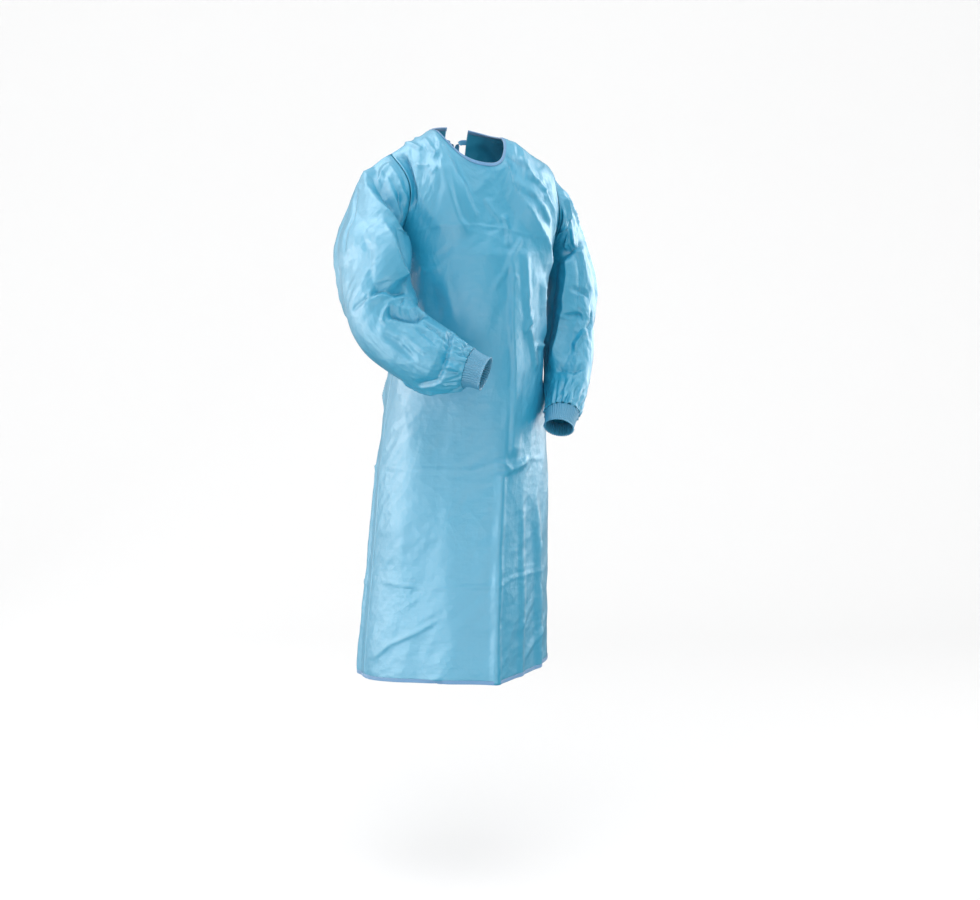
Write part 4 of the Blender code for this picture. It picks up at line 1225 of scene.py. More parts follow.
@dataclass(frozen=True)
class Edge:
    """A line along a piece's edge, with the cloth's outward side and the way out of the cloth."""

    points: Points
    normals: Points
    inner: Points
    inner_normals: Points

    @staticmethod
    def of(sheet: Sheet, outward: Points, first_row: bool, columns: slice, width: float) -> "Edge":
        """The edge along a sheet's first or last row, and the line that lies width inside it.

        Args:
            sheet: The sheet.
            outward: Its rough outward directions.
            first_row: Whether the edge is the first row, or else the last.
            columns: The columns that the edge takes in.
            width: Distance down the cloth between the edge and the inner line.

        Returns:
            The edge.
        """
        normals = sheet.normals()
        normals = normals * np.sign(dot(normals, outward))
        points = sheet.points[:, columns] if first_row else sheet.points[::-1, columns]
        normals = normals[:, columns] if first_row else normals[::-1, columns]
        steps = np.linalg.norm(np.diff(points, axis=0), axis=-1)
        gone = np.concatenate([np.zeros((1, steps.shape[1])), np.cumsum(steps, axis=0)])
        inner = np.empty_like(points[0])
        inner_normals = np.empty_like(inner)
        for column in range(points.shape[1]):
            for axis in range(3):
                inner[column, axis] = np.interp(width, gone[:, column], points[:, column, axis])
                inner_normals[column, axis] = np.interp(width, gone[:, column], normals[:, column, axis])
        return Edge(points[0], normals[0], inner, unit(inner_normals))

    def reversed(self) -> "Edge":
        """The same edge, run the other way."""
        return Edge(self.points[::-1], self.normals[::-1], self.inner[::-1], self.inner_normals[::-1])

    @staticmethod
    def joined(edges: list["Edge"]) -> "Edge":
        """Several edges one after the other, eased where they meet.

        Args:
            edges: The edges in order.

        Returns:
            The joint edge.
        """
        names = ("points", "normals", "inner", "inner_normals")
        parts = [np.concatenate([getattr(edge, name) for edge in edges]) for name in names]
        for part in parts + parts:
            part[1:-1] = 0.25 * part[:-2] + 0.5 * part[1:-1] + 0.25 * part[2:]
        return Edge(parts[0], unit(parts[1]), parts[2], unit(parts[3]))


def rounded(wave: Points, power: float) -> Points:
    """A sine or cosine with its absolute value raised to a power, for a rounded box's outline."""
    return np.sign(wave) * np.abs(wave) ** power


def along_path(points: Points) -> Points:
    """Distance gone along a path at each of its points."""
    return np.concatenate([[0.0], np.cumsum(np.linalg.norm(np.diff(points, axis=0), axis=-1))])


def even_path(points: Points, step: float, *others: Points) -> list[Points]:
    """A path, and values along it, at even distances near step.

    Args:
        points: Points along the path.
        step: The distance to come near.
        *others: Values at the points.

    Returns:
        The new points, then each of the others at them.
    """
    gone = along_path(points)
    places = np.linspace(0.0, gone[-1], max(2, round(gone[-1] / step)) + 1)
    return [np.stack([np.interp(places, gone, column) for column in values.T], axis=-1)
            for values in (points, *others)]


@dataclass(frozen=True)
class Stitching:
    """A row of stitches of one thread."""

    pitch: float = 0.0032
    length: float = 0.0024
    radius: float = 0.00026
    flatness: float = 0.8

    def build(self, name: str, paths: list[tuple[Points, Points]], material: Material, slot: str) -> Piece:
        """Lay stitches along paths.

        Args:
            name: Name of the piece.
            paths: Pairs of points and outward normals.
            material: The thread's finish.
            slot: Not used.

        Returns:
            The piece, one mesh with all the stitches.
        """
        row = bmesh.new()
        for points, normals in paths:
            spots, out = even_path(points, self.pitch, normals)
            middles = 0.5 * (spots[1:] + spots[:-1])
            lies = unit(spots[1:] - spots[:-1])
            ups = unit(out[1:] + out[:-1])
            crosses = unit(np.cross(ups, lies))
            for middle, lie, up, cross in zip(middles, lies, ups, crosses):
                place = np.identity(4)
                place[:3, 0] = cross * self.radius
                place[:3, 1] = up * self.flatness * self.radius
                place[:3, 2] = lie * 0.5 * self.length
                place[:3, 3] = middle
                bmesh.ops.create_uvsphere(row, u_segments=6, v_segments=5, radius=1.0, matrix=Matrix(place))
        mesh = bpy.data.meshes.new(name)
        row.to_mesh(mesh)
        row.free()
        mesh.shade_smooth()
        return add_piece(name, mesh, material)


@dataclass(frozen=True)
class Binding:
    """A tape folded over a raw edge and sewn through."""

    name: str
    width: float
    stands_for: str
    lift: float = 0.0006
    tape: float = 0.0005
    straight: int = 5
    turned: int = 6
    pucker: float = 0.00022
    pucker_pitch: float = 0.0032
    step: float = 0.0016
    seam_share: float = 0.28
    seam_rise: float = 0.00012

    def profile(self, edge: Edge) -> Points:
        """The tape's middle surface: from its outer selvedge over the fold to its inner selvedge.

        Args:
            edge: The raw edge, at even steps.

        Returns:
            Rows of points, one row for each point of the edge.
        """
        outward = unit(edge.points - edge.inner)
        centre_drop = 0.5 * CLOTH_WALL
        radius = self.lift + 0.5 * self.tape + centre_drop
        ripple = self.pucker * np.sin(TURN * along_path(edge.points) / self.pucker_pitch)[:, None]
        lines = []
        for share in np.linspace(0.0, 1.0, self.straight + 1)[:-1]:
            normal = unit(mix(edge.inner_normals, edge.normals, share))
            spot = mix(edge.inner, edge.points, share)
            lines.append(spot + normal * (radius - centre_drop + ripple * math.cos(math.pi * share)))
        for share in np.linspace(0.0, 1.0, self.turned + 1):
            angle = math.pi * (0.5 - share)
            lines.append(edge.points + outward * radius * math.cos(angle)
                         + edge.normals * (radius * math.sin(angle) - centre_drop))
        for share in np.linspace(1.0, 0.0, self.straight + 1)[1:]:
            normal = unit(mix(edge.inner_normals, edge.normals, share))
            lines.append(mix(edge.inner, edge.points, share) - normal * (radius + centre_drop))
        return np.stack(lines, axis=1)

    def build(self, edge: Edge, tape: Material, thread: Material) -> list[Piece]:
        """Build the binding and its stitches.

        Args:
            edge: The raw edge.
            tape: The tape's finish.
            thread: The thread's finish.

        Returns:
            The tape and its stitches.
        """
        points, normals, inner, inner_normals = even_path(edge.points, self.step, edge.normals, edge.inner,
                                                          edge.inner_normals)
        edge = Edge(points, unit(normals), inner, unit(inner_normals))
        surface = self.profile(edge)
        around = np.linspace(0.0, 2.0 * self.width, surface.shape[1])
        across, down = np.meshgrid(around, along_path(edge.points))
        middle = (0.5 * (edge.inner + edge.points) - edge.normals * 0.5 * CLOTH_WALL)[:, None, :]
        piece = sew(self.name, Sheet(surface, across, down), surface - middle, tape,
                    (self.stands_for,), self.tape, 0.0)
        rise = self.lift + self.tape + self.seam_rise
        seam = mix(edge.inner, edge.points, self.seam_share) + edge.inner_normals * rise
        rows = Stitching(0.0030, 0.0023, 0.00024)
        stitches = rows.build(self.name + "_stitches", [(seam, edge.inner_normals)], thread, "binding")
        return [piece, stitches]


@dataclass(frozen=True)
class Ribbon:
    """A narrow tape with soft selvedges that runs along a path."""

    width: float
    thickness: float = 0.0010
    around: int = 14
    squareness: float = 0.35
    flatness: float = 0.8

    def mesh(self, name: str, path: Points, flat: Points) -> Mesh:
        """The tape as a closed mesh.

        Args:
            name: Name of the mesh.
            path: Points along the tape's middle.
            flat: Direction across the tape at each point.

        Returns:
            The mesh, closed at both ends.
        """
        along = unit(np.gradient(path, axis=0))
        flat = unit(flat - along * dot(flat, along))
        up = np.cross(along, flat)
        angle = np.linspace(0.0, TURN, self.around + 1)
        x, y = rounded(np.cos(angle), self.squareness), rounded(np.sin(angle), self.flatness)
        points = (path[:, None] + flat[:, None] * (0.5 * self.width * x)[None, :, None]
                  + up[:, None] * (0.5 * self.thickness * y)[None, :, None])
        across, down = np.meshgrid(0.5 * self.width * (1.0 + x), along_path(path))
        mesh = Sheet(points, across, down, True).mesh(name, points - path[:, None])
        tape = bmesh.new()
        tape.from_mesh(mesh)
        ends = [edge for edge in tape.edges if edge.is_boundary]
        bmesh.ops.holes_fill(tape, edges=ends, sides=self.around + 1)
        bmesh.ops.recalc_face_normals(tape, faces=tape.faces)
        tape.to_mesh(mesh)
        tape.free()
        mesh.shade_smooth()
        return mesh


@dataclass(frozen=True)
class Surface:
    """What lies at the back of the apron, looked at from behind."""

    tree: BVHTree
    view_y: float = 0.4
    least_y: float = 0.02

    @staticmethod
    def over(pieces: list[Piece]) -> "Surface":
        """The surface that some pieces make together.

        Args:
            pieces: The pieces.

        Returns:
            The surface.
        """
        joint = bmesh.new()
        for piece in pieces:
            joint.from_mesh(piece.data)
        tree = BVHTree.FromBMesh(joint)
        joint.free()
        return Surface(tree)

    def depth(self, x: float, z: float) -> float:
        """How far back the surface lies at a place, or minus infinity where it is open."""
        spot = self.tree.ray_cast(Vector((x, self.view_y, z)), Vector((0.0, -1.0, 0.0)))[0]
        return spot.y if spot is not None and spot.y > self.least_y else -math.inf


@dataclass(frozen=True)
class Tie:
    """A pair of tapes at the back, tied in a knot at the middle."""

    name: str
    width: float
    z: float
    start: float
    tail: float
    turn: float = 0.012
    standoff: float = 0.0016
    spread: float = 0.10
    gap: float = 0.0006
    step: float = 0.0022
    sway: float = 0.004
    bridge: float = 0.05
    twist: float = 34.0
    swing: float = 0.002
    sewn_share: float = 0.38
    sewn_rise: float = 0.0007
    knot_height: float = 0.010
    knot_drop: float = 0.003

    def path(self, side: int, surface: Surface) -> tuple[Points, Points]:
        """A tape's middle line and the direction across it.

        Args:
            side: -1 for the right tape, 1 for the left.
            surface: The back that the tape lies on.

        Returns:
            Points along the middle line, and the direction across the tape at each.
        """
        centre = 0.5 * (self.width + self.gap)
        run, quarter = self.start - centre - self.turn, QUARTER * self.turn
        spots, flats = [], []
        for length in np.arange(0.0, run + quarter + self.tail, self.step):
            if length <= run:
                x, z, lean = self.start - length, self.z, 0.0
            elif length <= run + quarter:
                lean = (length - run) / self.turn
                x = centre + self.turn - self.turn * math.sin(lean)
                z = self.z - self.turn + self.turn * math.cos(lean)
            else:
                hang, lean = length - run - quarter, QUARTER
                sway = self.sway * math.sin(9.0 * hang / self.tail) * hang / self.tail
                x, z = centre + hang * self.spread + side * sway, self.z - self.turn - hang
            spots.append((side * x, x, z))
            flats.append((side * math.sin(lean), 0.0, math.cos(lean)))
        open_y = BODY.open_depth(np.array([z for _, _, z in spots]))
        depth = np.array([max(surface.depth(x, z), edge if abs(x) < self.bridge else -1.0)
                          for (x, _, z), edge in zip(spots, open_y)])
        for _ in range(12):
            depth[1:-1] = np.maximum(depth[1:-1], 0.5 * (depth[:-2] + depth[2:]))
        points = np.array([(x, y + self.standoff, z) for (x, _, z), y in zip(spots, depth)])
        flat = np.array(flats)
        hang = np.clip((np.arange(len(points)) * self.step - run - quarter) / self.tail, 0.0, 1.0)
        twist = np.radians(side * self.twist) * np.sin(4.2 * hang) * hang
        flat[:, 1] += np.tan(twist)
        points[:, 1] += 0.5 * self.width * np.abs(np.sin(twist)) + self.swing * hang
        return points, flat

    def build(self, surface: Surface, tape: Material, thread: Material) -> list[Piece]:
        """Build both tapes, the crossed boxes that sew them on, and the knot.

        Args:
            surface: The back that the tapes lie on.
            tape: The tapes' finish.
            thread: The thread's finish.

        Returns:
            The two tapes, their stitches and the knot's two wraps.
        """
        pieces, sewn = [], []
        up = np.tile(np.array((0.0, 1.0, 0.0)), (2, 1))
        high = self.sewn_share * self.width
        for side, word in SIDES:
            points, flat = self.path(side, surface)
            name = f"{self.name}_tape_{word}"
            mesh = Ribbon(self.width).mesh(name, points, flat)
            pieces.append(add_piece(name, mesh, tape, (f"{self.name}_{word}",)))
            near, far = points[1], points[1 + round(self.width / self.step)]
            for first_z, last_z in ((-high, high), (high, -high), (-high, -high), (high, high)):
                first = near + np.array((0.0, self.sewn_rise, first_z))
                last = far + np.array((0.0, self.sewn_rise, last_z))
                sewn.append((np.array((first, last)), up))
        pieces.append(Stitching(0.0026, 0.0020, 0.00022).build(self.name + "_stitches", sewn, thread, "tie"))
        return pieces + self.knot(tape)

    def knot(self, tape: Material) -> list[Piece]:
        """The knot: two tapes wrapped over each other.

        Args:
            tape: The tapes' finish.

        Returns:
            The two wraps.
        """
        z = self.z - self.turn - self.knot_drop - 0.5 * self.knot_height
        y = float(BODY.open_depth(np.array((z,)))[0]) + self.standoff + self.gap
        angle = np.linspace(0.0, TURN, 61)
        pieces = []
        # Each wrap's tilt, half width, depth and height, and the nodes that it replaces
        wraps = ((0.30, self.width + 0.0012, 0.0030, self.knot_height, (f"{self.name}_knot",)),
                 (-0.34, 0.84 * self.width + 0.0012, 0.0041, 0.82 * self.knot_height, ()))
        for number, (tilt, half, depth, height, replaced) in enumerate(wraps, 1):
            x = half * rounded(np.cos(angle), 0.8)
            points = stack(x, y + depth * rounded(np.sin(angle), 0.7), z + tilt * x)
            flat = np.tile(np.array((-math.sin(tilt), 0.0, math.cos(tilt))), (len(points), 1))
            name = f"{self.name}_knot_wrap_{number}"
            mesh = Ribbon(height, 0.0011).mesh(name, points, flat)
            pieces.append(add_piece(name, mesh, tape, replaced))
        return pieces


class Tree:
    """A node tree being put together."""

    def __init__(self, tree: bpy.types.NodeTree) -> None:
        """Start on a tree.

        Args:
            tree: The tree to add nodes to.
        """
        self.tree = tree

    def add(self, kind: str, **settings: object) -> bpy.types.Node:
        """Add a node.

        Args:
            kind: Its type.
            **settings: Its properties.

        Returns:
            The node.
        """
        node = self.tree.nodes.new(kind)
        for name, value in settings.items():
            setattr(node, name, value)
        return node

    def link(self, source: Socket, node: bpy.types.Node, name: str | int) -> None:
        """Link a socket to a node's named input."""
        self.tree.links.new(source, node.inputs[name])

    def math(self, operation: str, first: Socket | float, second: Socket | float) -> Socket:
        """A math node's result.

        Args:
            operation: What it does.
            first: Its first value.
            second: Its second value.

        Returns:
            The result.
        """
        node = self.add("ShaderNodeMath", operation=operation)
        for index, value in enumerate((first, second)):
            if isinstance(value, Socket):
                self.tree.links.new(value, node.inputs[index])
            else:
                node.inputs[index].default_value = value
        return node.outputs[0]

    def plus(self, first: Socket | float, second: Socket | float) -> Socket:
        """The sum of two values."""
        return self.math("ADD", first, second)

    def less(self, first: Socket | float, second: Socket | float) -> Socket:
        """The first value less the second."""
        return self.math("SUBTRACT", first, second)

    def times(self, first: Socket | float, second: Socket | float) -> Socket:
        """The product of two values."""
        return self.math("MULTIPLY", first, second)

    def noise(self, vector: Socket, scale: float, detail: float, rough: float) -> Socket:
        """A noise texture's value.

        Args:
            vector: Where on the cloth.
            scale: Spots to the metre.
            detail: Number of finer layers.
            rough: How strong the finer layers are.

        Returns:
            The value, about 0.5.
        """
        node = self.add("ShaderNodeTexNoise")
        node.inputs["Scale"].default_value = scale
        node.inputs["Detail"].default_value = detail
        node.inputs["Roughness"].default_value = rough
        self.link(vector, node, "Vector")
        return node.outputs[0]

    def cells(self, vector: Socket, scale: float, **settings: str) -> Socket:
        """Distances in a flat pattern of cells; on their own they make the facets of creased film.

        Args:
            vector: Where on the cloth.
            scale: Cells to the metre.
            **settings: The pattern's properties.

        Returns:
            The distance, 0 at a cell's middle or on its edge.
        """
        node = self.add("ShaderNodeTexVoronoi", voronoi_dimensions="2D", **settings)
        self.link(vector, node, "Vector")
        node.inputs["Scale"].default_value = scale
        return node.outputs["Distance"]

    def crests(self, vector: Socket, scale: float, width: float) -> Socket:
        """Hair-fine crests where the flat patches of creased film meet.

        Args:
            vector: Where on the cloth.
            scale: Patches to the metre.
            width: Half a crest's width, as a share of a patch.

        Returns:
            The height, 1 on a crest and 0 between them.
        """
        distance = self.cells(vector, scale, feature="DISTANCE_TO_EDGE")
        return self.math("MAXIMUM", self.less(1.0, self.math("DIVIDE", distance, width)), 0.0)

    def stretched(self, vector: Socket, scale: tuple[float, float, float]) -> Socket:
        """A vector stretched along its axes.

        Args:
            vector: The vector.
            scale: What each axis is multiplied by.

        Returns:
            The stretched vector.
        """
        node = self.add("ShaderNodeMapping")
        node.inputs["Scale"].default_value = scale
        self.link(vector, node, "Vector")
        return node.outputs[0]

    def blend(self, share: Socket, first: Socket, second: Socket) -> Socket:
        """A colour the given share of the way from first to second.

        Args:
            share: The share, from 0 to 1.
            first: Colour at 0.
            second: Colour at 1.

        Returns:
            The colour.
        """
        node = self.add("ShaderNodeMix", data_type="RGBA")
        self.link(share, node, 0)
        self.link(first, node, 6)
        self.link(second, node, 7)
        return node.outputs[2]


def new_group(name: str, colours: tuple[str, str], values: tuple[str, str]) -> bpy.types.NodeTree:
    """A shader node group that gives a finish's colour, roughness and height.

    Args:
        name: Its name.
        colours: Names of its two colour inputs.
        values: Names of its two number inputs.

    Returns:
        The group with its sockets and nothing in it.
    """
    group = bpy.data.node_groups.new(name, "ShaderNodeTree")
    sockets = [("Vector", "INPUT", "NodeSocketVector")]
    sockets += [(label, "INPUT", "NodeSocketColor") for label in colours]
    sockets += [(label, "INPUT", "NodeSocketFloat") for label in values]
    sockets += [("Colour", "OUTPUT", "NodeSocketColor"), ("Roughness", "OUTPUT", "NodeSocketFloat"),
                ("Height", "OUTPUT", "NodeSocketFloat")]
    for label, way, kind in sockets:
        group.interface.new_socket(label, in_out=way, socket_type=kind)
    return group


CLOTH_COLOURS = ("Cloth Colour", "Deep Colour")
TAPE_COLOURS = ("Thread Colour", "Gap Colour")


def nonwoven_group() -> bpy.types.NodeTree:
    """Film-faced nonwoven cloth: fine laid fibres, soft unevenness and the crinkles of its stiff film.

    Returns:
        The group.
    """
    group = new_group("nonwoven_film", CLOTH_COLOURS, ("Roughness", "Crinkle"))
    tree = Tree(group)
    start, end = tree.add("NodeGroupInput"), tree.add("NodeGroupOutput")
    vector, crinkle = start.outputs["Vector"], start.outputs["Crinkle"]
    fibre = tree.noise(tree.stretched(vector, (1.0, 0.35, 1.0)), 1500.0, 3.0, 0.6)
    cross = tree.noise(tree.stretched(vector, (0.4, 1.0, 1.0)), 1100.0, 2.0, 0.5)
    uneven = tree.noise(vector, 9.0, 3.0, 0.55)
    blotch = tree.noise(vector, 60.0, 3.0, 0.6)
    grain = tree.times(tree.plus(fibre, cross), 0.5)
    tone = tree.plus(tree.times(uneven, 0.55), tree.times(blotch, 0.30))
    tone = tree.plus(tone, tree.times(grain, 0.30))
    share = tree.times(tree.less(tone, 0.35), 1.4)
    colour = tree.blend(share, start.outputs["Deep Colour"], start.outputs["Cloth Colour"])
    tree.link(colour, end, "Colour")
    rough = tree.plus(start.outputs["Roughness"], tree.times(tree.less(blotch, 0.5), 0.12))
    tree.link(rough, end, "Roughness")
    height = tree.plus(tree.times(grain, 0.12), tree.times(blotch, 0.22))
    large = tree.cells(vector, 34.0, distance="MANHATTAN")
    small = tree.cells(vector, 83.0, distance="MANHATTAN")
    folded = tree.plus(large, tree.times(small, 0.45))
    patchy = tree.times(crinkle, tree.plus(uneven, 0.2))
    height = tree.plus(height, tree.times(folded, patchy))
    lines = tree.plus(tree.crests(tree.stretched(vector, (1.0, 0.55, 1.0)), 24.0, 0.07),
                      tree.times(tree.crests(vector, 55.0, 0.10), 0.5))
    shown = tree.math("MAXIMUM", tree.times(tree.less(uneven, 0.42), crinkle), 0.0)
    shown = tree.math("MINIMUM", shown, 1.2)
    tree.link(tree.plus(height, tree.times(lines, shown)), end, "Height")
    return group


def weave_group() -> bpy.types.NodeTree:
    """Narrow woven tape: crossing threads with slight unevenness.

    Returns:
        The group.
    """
    group = new_group("woven_tape", TAPE_COLOURS, ("Threads", "Roughness"))
    tree = Tree(group)
    start, end = tree.add("NodeGroupInput"), tree.add("NodeGroupOutput")
    parts = tree.add("ShaderNodeSeparateXYZ")
    tree.link(start.outputs["Vector"], parts, 0)
    turns = tree.times(start.outputs["Threads"], TURN)
    warp = tree.math("SINE", tree.times(parts.outputs[0], turns), 0.0)
    weft = tree.math("SINE", tree.times(parts.outputs[1], turns), 0.0)
    woven = tree.plus(tree.times(tree.times(warp, weft), 0.5), 0.5)
    uneven = tree.noise(start.outputs["Vector"], 700.0, 2.0, 0.5)
    height = tree.plus(tree.times(woven, 0.7), tree.times(uneven, 0.3))
    tree.link(tree.blend(height, start.outputs["Gap Colour"], start.outputs["Thread Colour"]), end, "Colour")
    tree.link(start.outputs["Roughness"], end, "Roughness")
    tree.link(height, end, "Height")
    return group


@dataclass(frozen=True)
class Finish:
    """A cloth, tape or thread finish."""

    name: str
    colours: tuple[Colour, Colour]
    roughness: float
    sheen: float
    sheen_roughness: float
    bump: float
    bump_distance: float
    threads: float = 0.0
    crinkle: float = 0.0
    index: float = 1.5

    def material(self) -> Material:
        """The finish as a material: woven where it has threads, or else film-faced.

        Returns:
            The material.
        """
        material = bpy.data.materials.new(self.name)
        material.use_nodes = True
        tree = Tree(material.node_tree)
        shader = material.node_tree.nodes["Principled BSDF"]
        shader.inputs["Sheen Weight"].default_value = self.sheen
        shader.inputs["Sheen Roughness"].default_value = self.sheen_roughness
        shader.inputs["IOR"].default_value = self.index
        place = tree.add("ShaderNodeAttribute", attribute_name="cloth")
        group = bpy.data.node_groups["woven_tape" if self.threads else "nonwoven_film"]
        look = tree.add("ShaderNodeGroup", node_tree=group)
        tree.link(place.outputs["Vector"], look, "Vector")
        for name, colour in zip(TAPE_COLOURS if self.threads else CLOTH_COLOURS, self.colours):
            look.inputs[name].default_value = (*colour, 1.0)
        look.inputs["Roughness"].default_value = self.roughness
        if self.threads:
            look.inputs["Threads"].default_value = self.threads
        else:
            look.inputs["Crinkle"].default_value = self.crinkle
        tree.link(look.outputs["Colour"], shader, "Base Color")
        tree.link(look.outputs["Roughness"], shader, "Roughness")
        relief = tree.add("ShaderNodeBump")
        relief.inputs["Strength"].default_value = self.bump
        relief.inputs["Distance"].default_value = self.bump_distance
        tree.link(look.outputs["Height"], relief, "Height")
        tree.link(relief.outputs["Normal"], shader, "Normal")
        return material


CLOTH = Finish("film_faced_cloth", ((0.001, 0.298, 0.482), (0.001, 0.270, 0.450)), roughness=0.50, sheen=0.0,
               sheen_roughness=0.5, bump=0.8, bump_distance=0.00035, crinkle=3.2, index=1.86)
SLEEVE_CLOTH = replace(CLOTH, name="film_faced_sleeve_cloth", crinkle=7.0)
CUFF = Finish("cuff_cloth", ((0.004, 0.262, 0.450), (0.003, 0.225, 0.400)), roughness=0.50, sheen=0.1,
              sheen_roughness=0.5, bump=0.8, bump_distance=0.00035, crinkle=1.0, index=1.9)
BINDING = Finish("binding_tape", ((0.125, 0.300, 0.500), (0.080, 0.230, 0.440)), roughness=0.62, sheen=0.20,
                 sheen_roughness=0.45, bump=0.6, bump_distance=0.00012, threads=2400.0)
TIE = replace(BINDING, name="tie_tape", colours=((0.060, 0.310, 0.530), (0.030, 0.230, 0.440)),
              threads=1900.0)
THREAD = Finish("binding_thread", ((0.190, 0.340, 0.560), (0.130, 0.260, 0.480)), roughness=0.55, sheen=0.10,
                sheen_roughness=0.40, bump=0.2, bump_distance=0.0001, threads=2400.0)
SEAM_THREAD = replace(THREAD, name="seam_thread", colours=((0.020, 0.290, 0.490), (0.015, 0.245, 0.430)))


LIGHT_AIM = Vector((0.0, 0.0, -0.5))


@dataclass(frozen=True)
class Softbox:
    """A large soft studio light."""

    name: str
    place: tuple[float, float, float]
    size: Place
    watts: float

    def build(self, shine_only: bool) -> Piece:
        """Hang the light.

        Args:
            shine_only: Whether it only shows as a shine and lights nothing.

        Returns:
            The light.
        """
        lamp = bpy.data.lights.new(self.name, "AREA")
        lamp.shape = "RECTANGLE"
        lamp.size, lamp.size_y = self.size
        lamp.energy = self.watts
        light = bpy.data.objects.new(self.name, lamp)
        light.location = self.place
        light.rotation_euler = (LIGHT_AIM - Vector(self.place)).to_track_quat("-Z", "Y").to_euler()
        light.visible_diffuse = not shine_only
        bpy.context.scene.collection.objects.link(light)
        return light


STRIP = (2.4, 0.6)
UPRIGHT = (1.6, 2.2)
OVERHEAD = (2.0, 1.6)
SOFTBOXES = (
    Softbox("low_front", (-1.10, -2.79, -1.25), STRIP, 12.0),
    Softbox("front", (-1.21, -3.07, 0.32), UPRIGHT, 9.0),
    Softbox("top_front", (-0.51, -1.30, 1.92), OVERHEAD, 20.0),
    Softbox("left_back", (-1.39, 2.10, 0.13), UPRIGHT, 8.0),
    Softbox("left", (-3.07, 1.21, 0.32), UPRIGHT, 14.0),
)
# Lights that the cloth only mirrors
SHINES = (
    Softbox("shine_left_back", (-1.39, 2.10, 0.13), UPRIGHT, 165.0),
    Softbox("shine_left", (-3.07, 1.21, 0.32), UPRIGHT, 120.0),
    Softbox("shine_left_front", (-3.26, -0.49, 0.32), UPRIGHT, 34.0),
    Softbox("shine_right", (3.07, -1.21, 0.32), UPRIGHT, 16.0),
    Softbox("shine_right_back", (2.45, 0.59, 0.13), UPRIGHT, 95.0),
    Softbox("shine_top_left", (-1.30, 0.51, 1.92), OVERHEAD, 70.0),
    Softbox("shine_top_right", (1.30, -0.51, 1.92), OVERHEAD, 26.0),
    Softbox("shine_top_back", (0.51, 1.30, 1.92), OVERHEAD, 20.0),
    Softbox("shine_top_front", (-0.51, -1.30, 1.92), OVERHEAD, 13.0),
    Softbox("shine_low_left", (-2.97, -0.45, -1.25), STRIP, 52.0),
    Softbox("shine_low_front", (-1.10, -2.79, -1.25), STRIP, 30.0),
)


@dataclass(frozen=True)
class Studio:
    """Floor, backdrop, lights and camera."""

    floor_z: float = -1.46
    view_turn: float = 22.0
    view_drop: float = 7.0
    eye: tuple[float, float, float] = (-1.462, -3.723, -0.110)
    lens: float = 75.4
    world: float = 1.02
    floor_colour: Colour = (0.88, 0.88, 0.88)
    width: float = 16.0
    floor_near: float = -7.0
    floor_far: float = 2.2
    bend: float = 1.6
    wall_top: float = 7.0
    # Shares of the backdrop's length at which its floor ends and its wall starts
    bend_shares: Place = (0.4, 0.8)

    def backdrop(self) -> Piece:
        """A pale floor that sweeps up into a wall behind the apron.

        Returns:
            The backdrop, staged behind the apron.
        """
        grid = bmesh.new()
        bmesh.ops.create_grid(grid, x_segments=1, y_segments=48, size=0.5)
        turn = math.radians(self.view_turn)
        right = Vector((math.cos(turn), -math.sin(turn), 0.0))
        ahead = Vector((math.sin(turn), math.cos(turn), 0.0))
        low, high = self.bend_shares
        lengths = np.array((low, high - low, 1.0 - high))
        for vertex in grid.verts:
            share = vertex.co.y + 0.5
            floor, swept, wall = np.diff(np.clip((0.0, low, high, 1.0), None, share)) / lengths
            deep = mix(self.floor_near, self.floor_far, floor) + self.bend * math.sin(QUARTER * swept)
            rise = self.bend * (1.0 - math.cos(QUARTER * swept)) + (self.wall_top - self.bend) * wall
            level = Vector((0.0, 0.0, self.floor_z + rise))
            vertex.co = right * vertex.co.x * self.width + ahead * deep + level
        bmesh.ops.recalc_face_normals(grid, faces=grid.faces)
        mesh = bpy.data.meshes.new("backdrop")
        grid.to_mesh(mesh)
        grid.free()
        mesh.shade_smooth()
        material = bpy.data.materials.new("backdrop")
        material.use_nodes = True
        shader = material.node_tree.nodes["Principled BSDF"]
        shader.inputs["Base Color"].default_value = (*self.floor_colour, 1.0)
        shader.inputs["Roughness"].default_value = 0.9
        shader.inputs["Specular IOR Level"].default_value = 0.1
        mesh.materials.append(material)
        backdrop = bpy.data.objects.new("backdrop", mesh)
        bpy.context.scene.collection.objects.link(backdrop)
        backdrop.visible_glossy = False
        return backdrop

    def build(self) -> None:
        """Set up the studio."""
        self.backdrop()
        for softbox in SOFTBOXES + SHINES:
            softbox.build(softbox in SHINES)
        world = bpy.data.worlds.new("studio")
        world.use_nodes = True
        world.node_tree.nodes["Background"].inputs["Color"].default_value = (1.0, 1.0, 1.0, 1.0)
        world.node_tree.nodes["Background"].inputs["Strength"].default_value = self.world
        world.cycles_visibility.glossy = False
        scene = bpy.context.scene
        scene.world = world
        scene.view_settings.view_transform = "Standard"
        lens = bpy.data.cameras.new("camera")
        lens.lens = self.lens
        lens.sensor_width = 36.0
        lens.sensor_fit = "HORIZONTAL"
        camera = bpy.data.objects.new("camera", lens)
        camera.location = self.eye
        camera.rotation_euler = (math.radians(90.0 - self.view_drop), 0.0, -math.radians(self.view_turn))
        scene.collection.objects.link(camera)
        scene.camera = camera


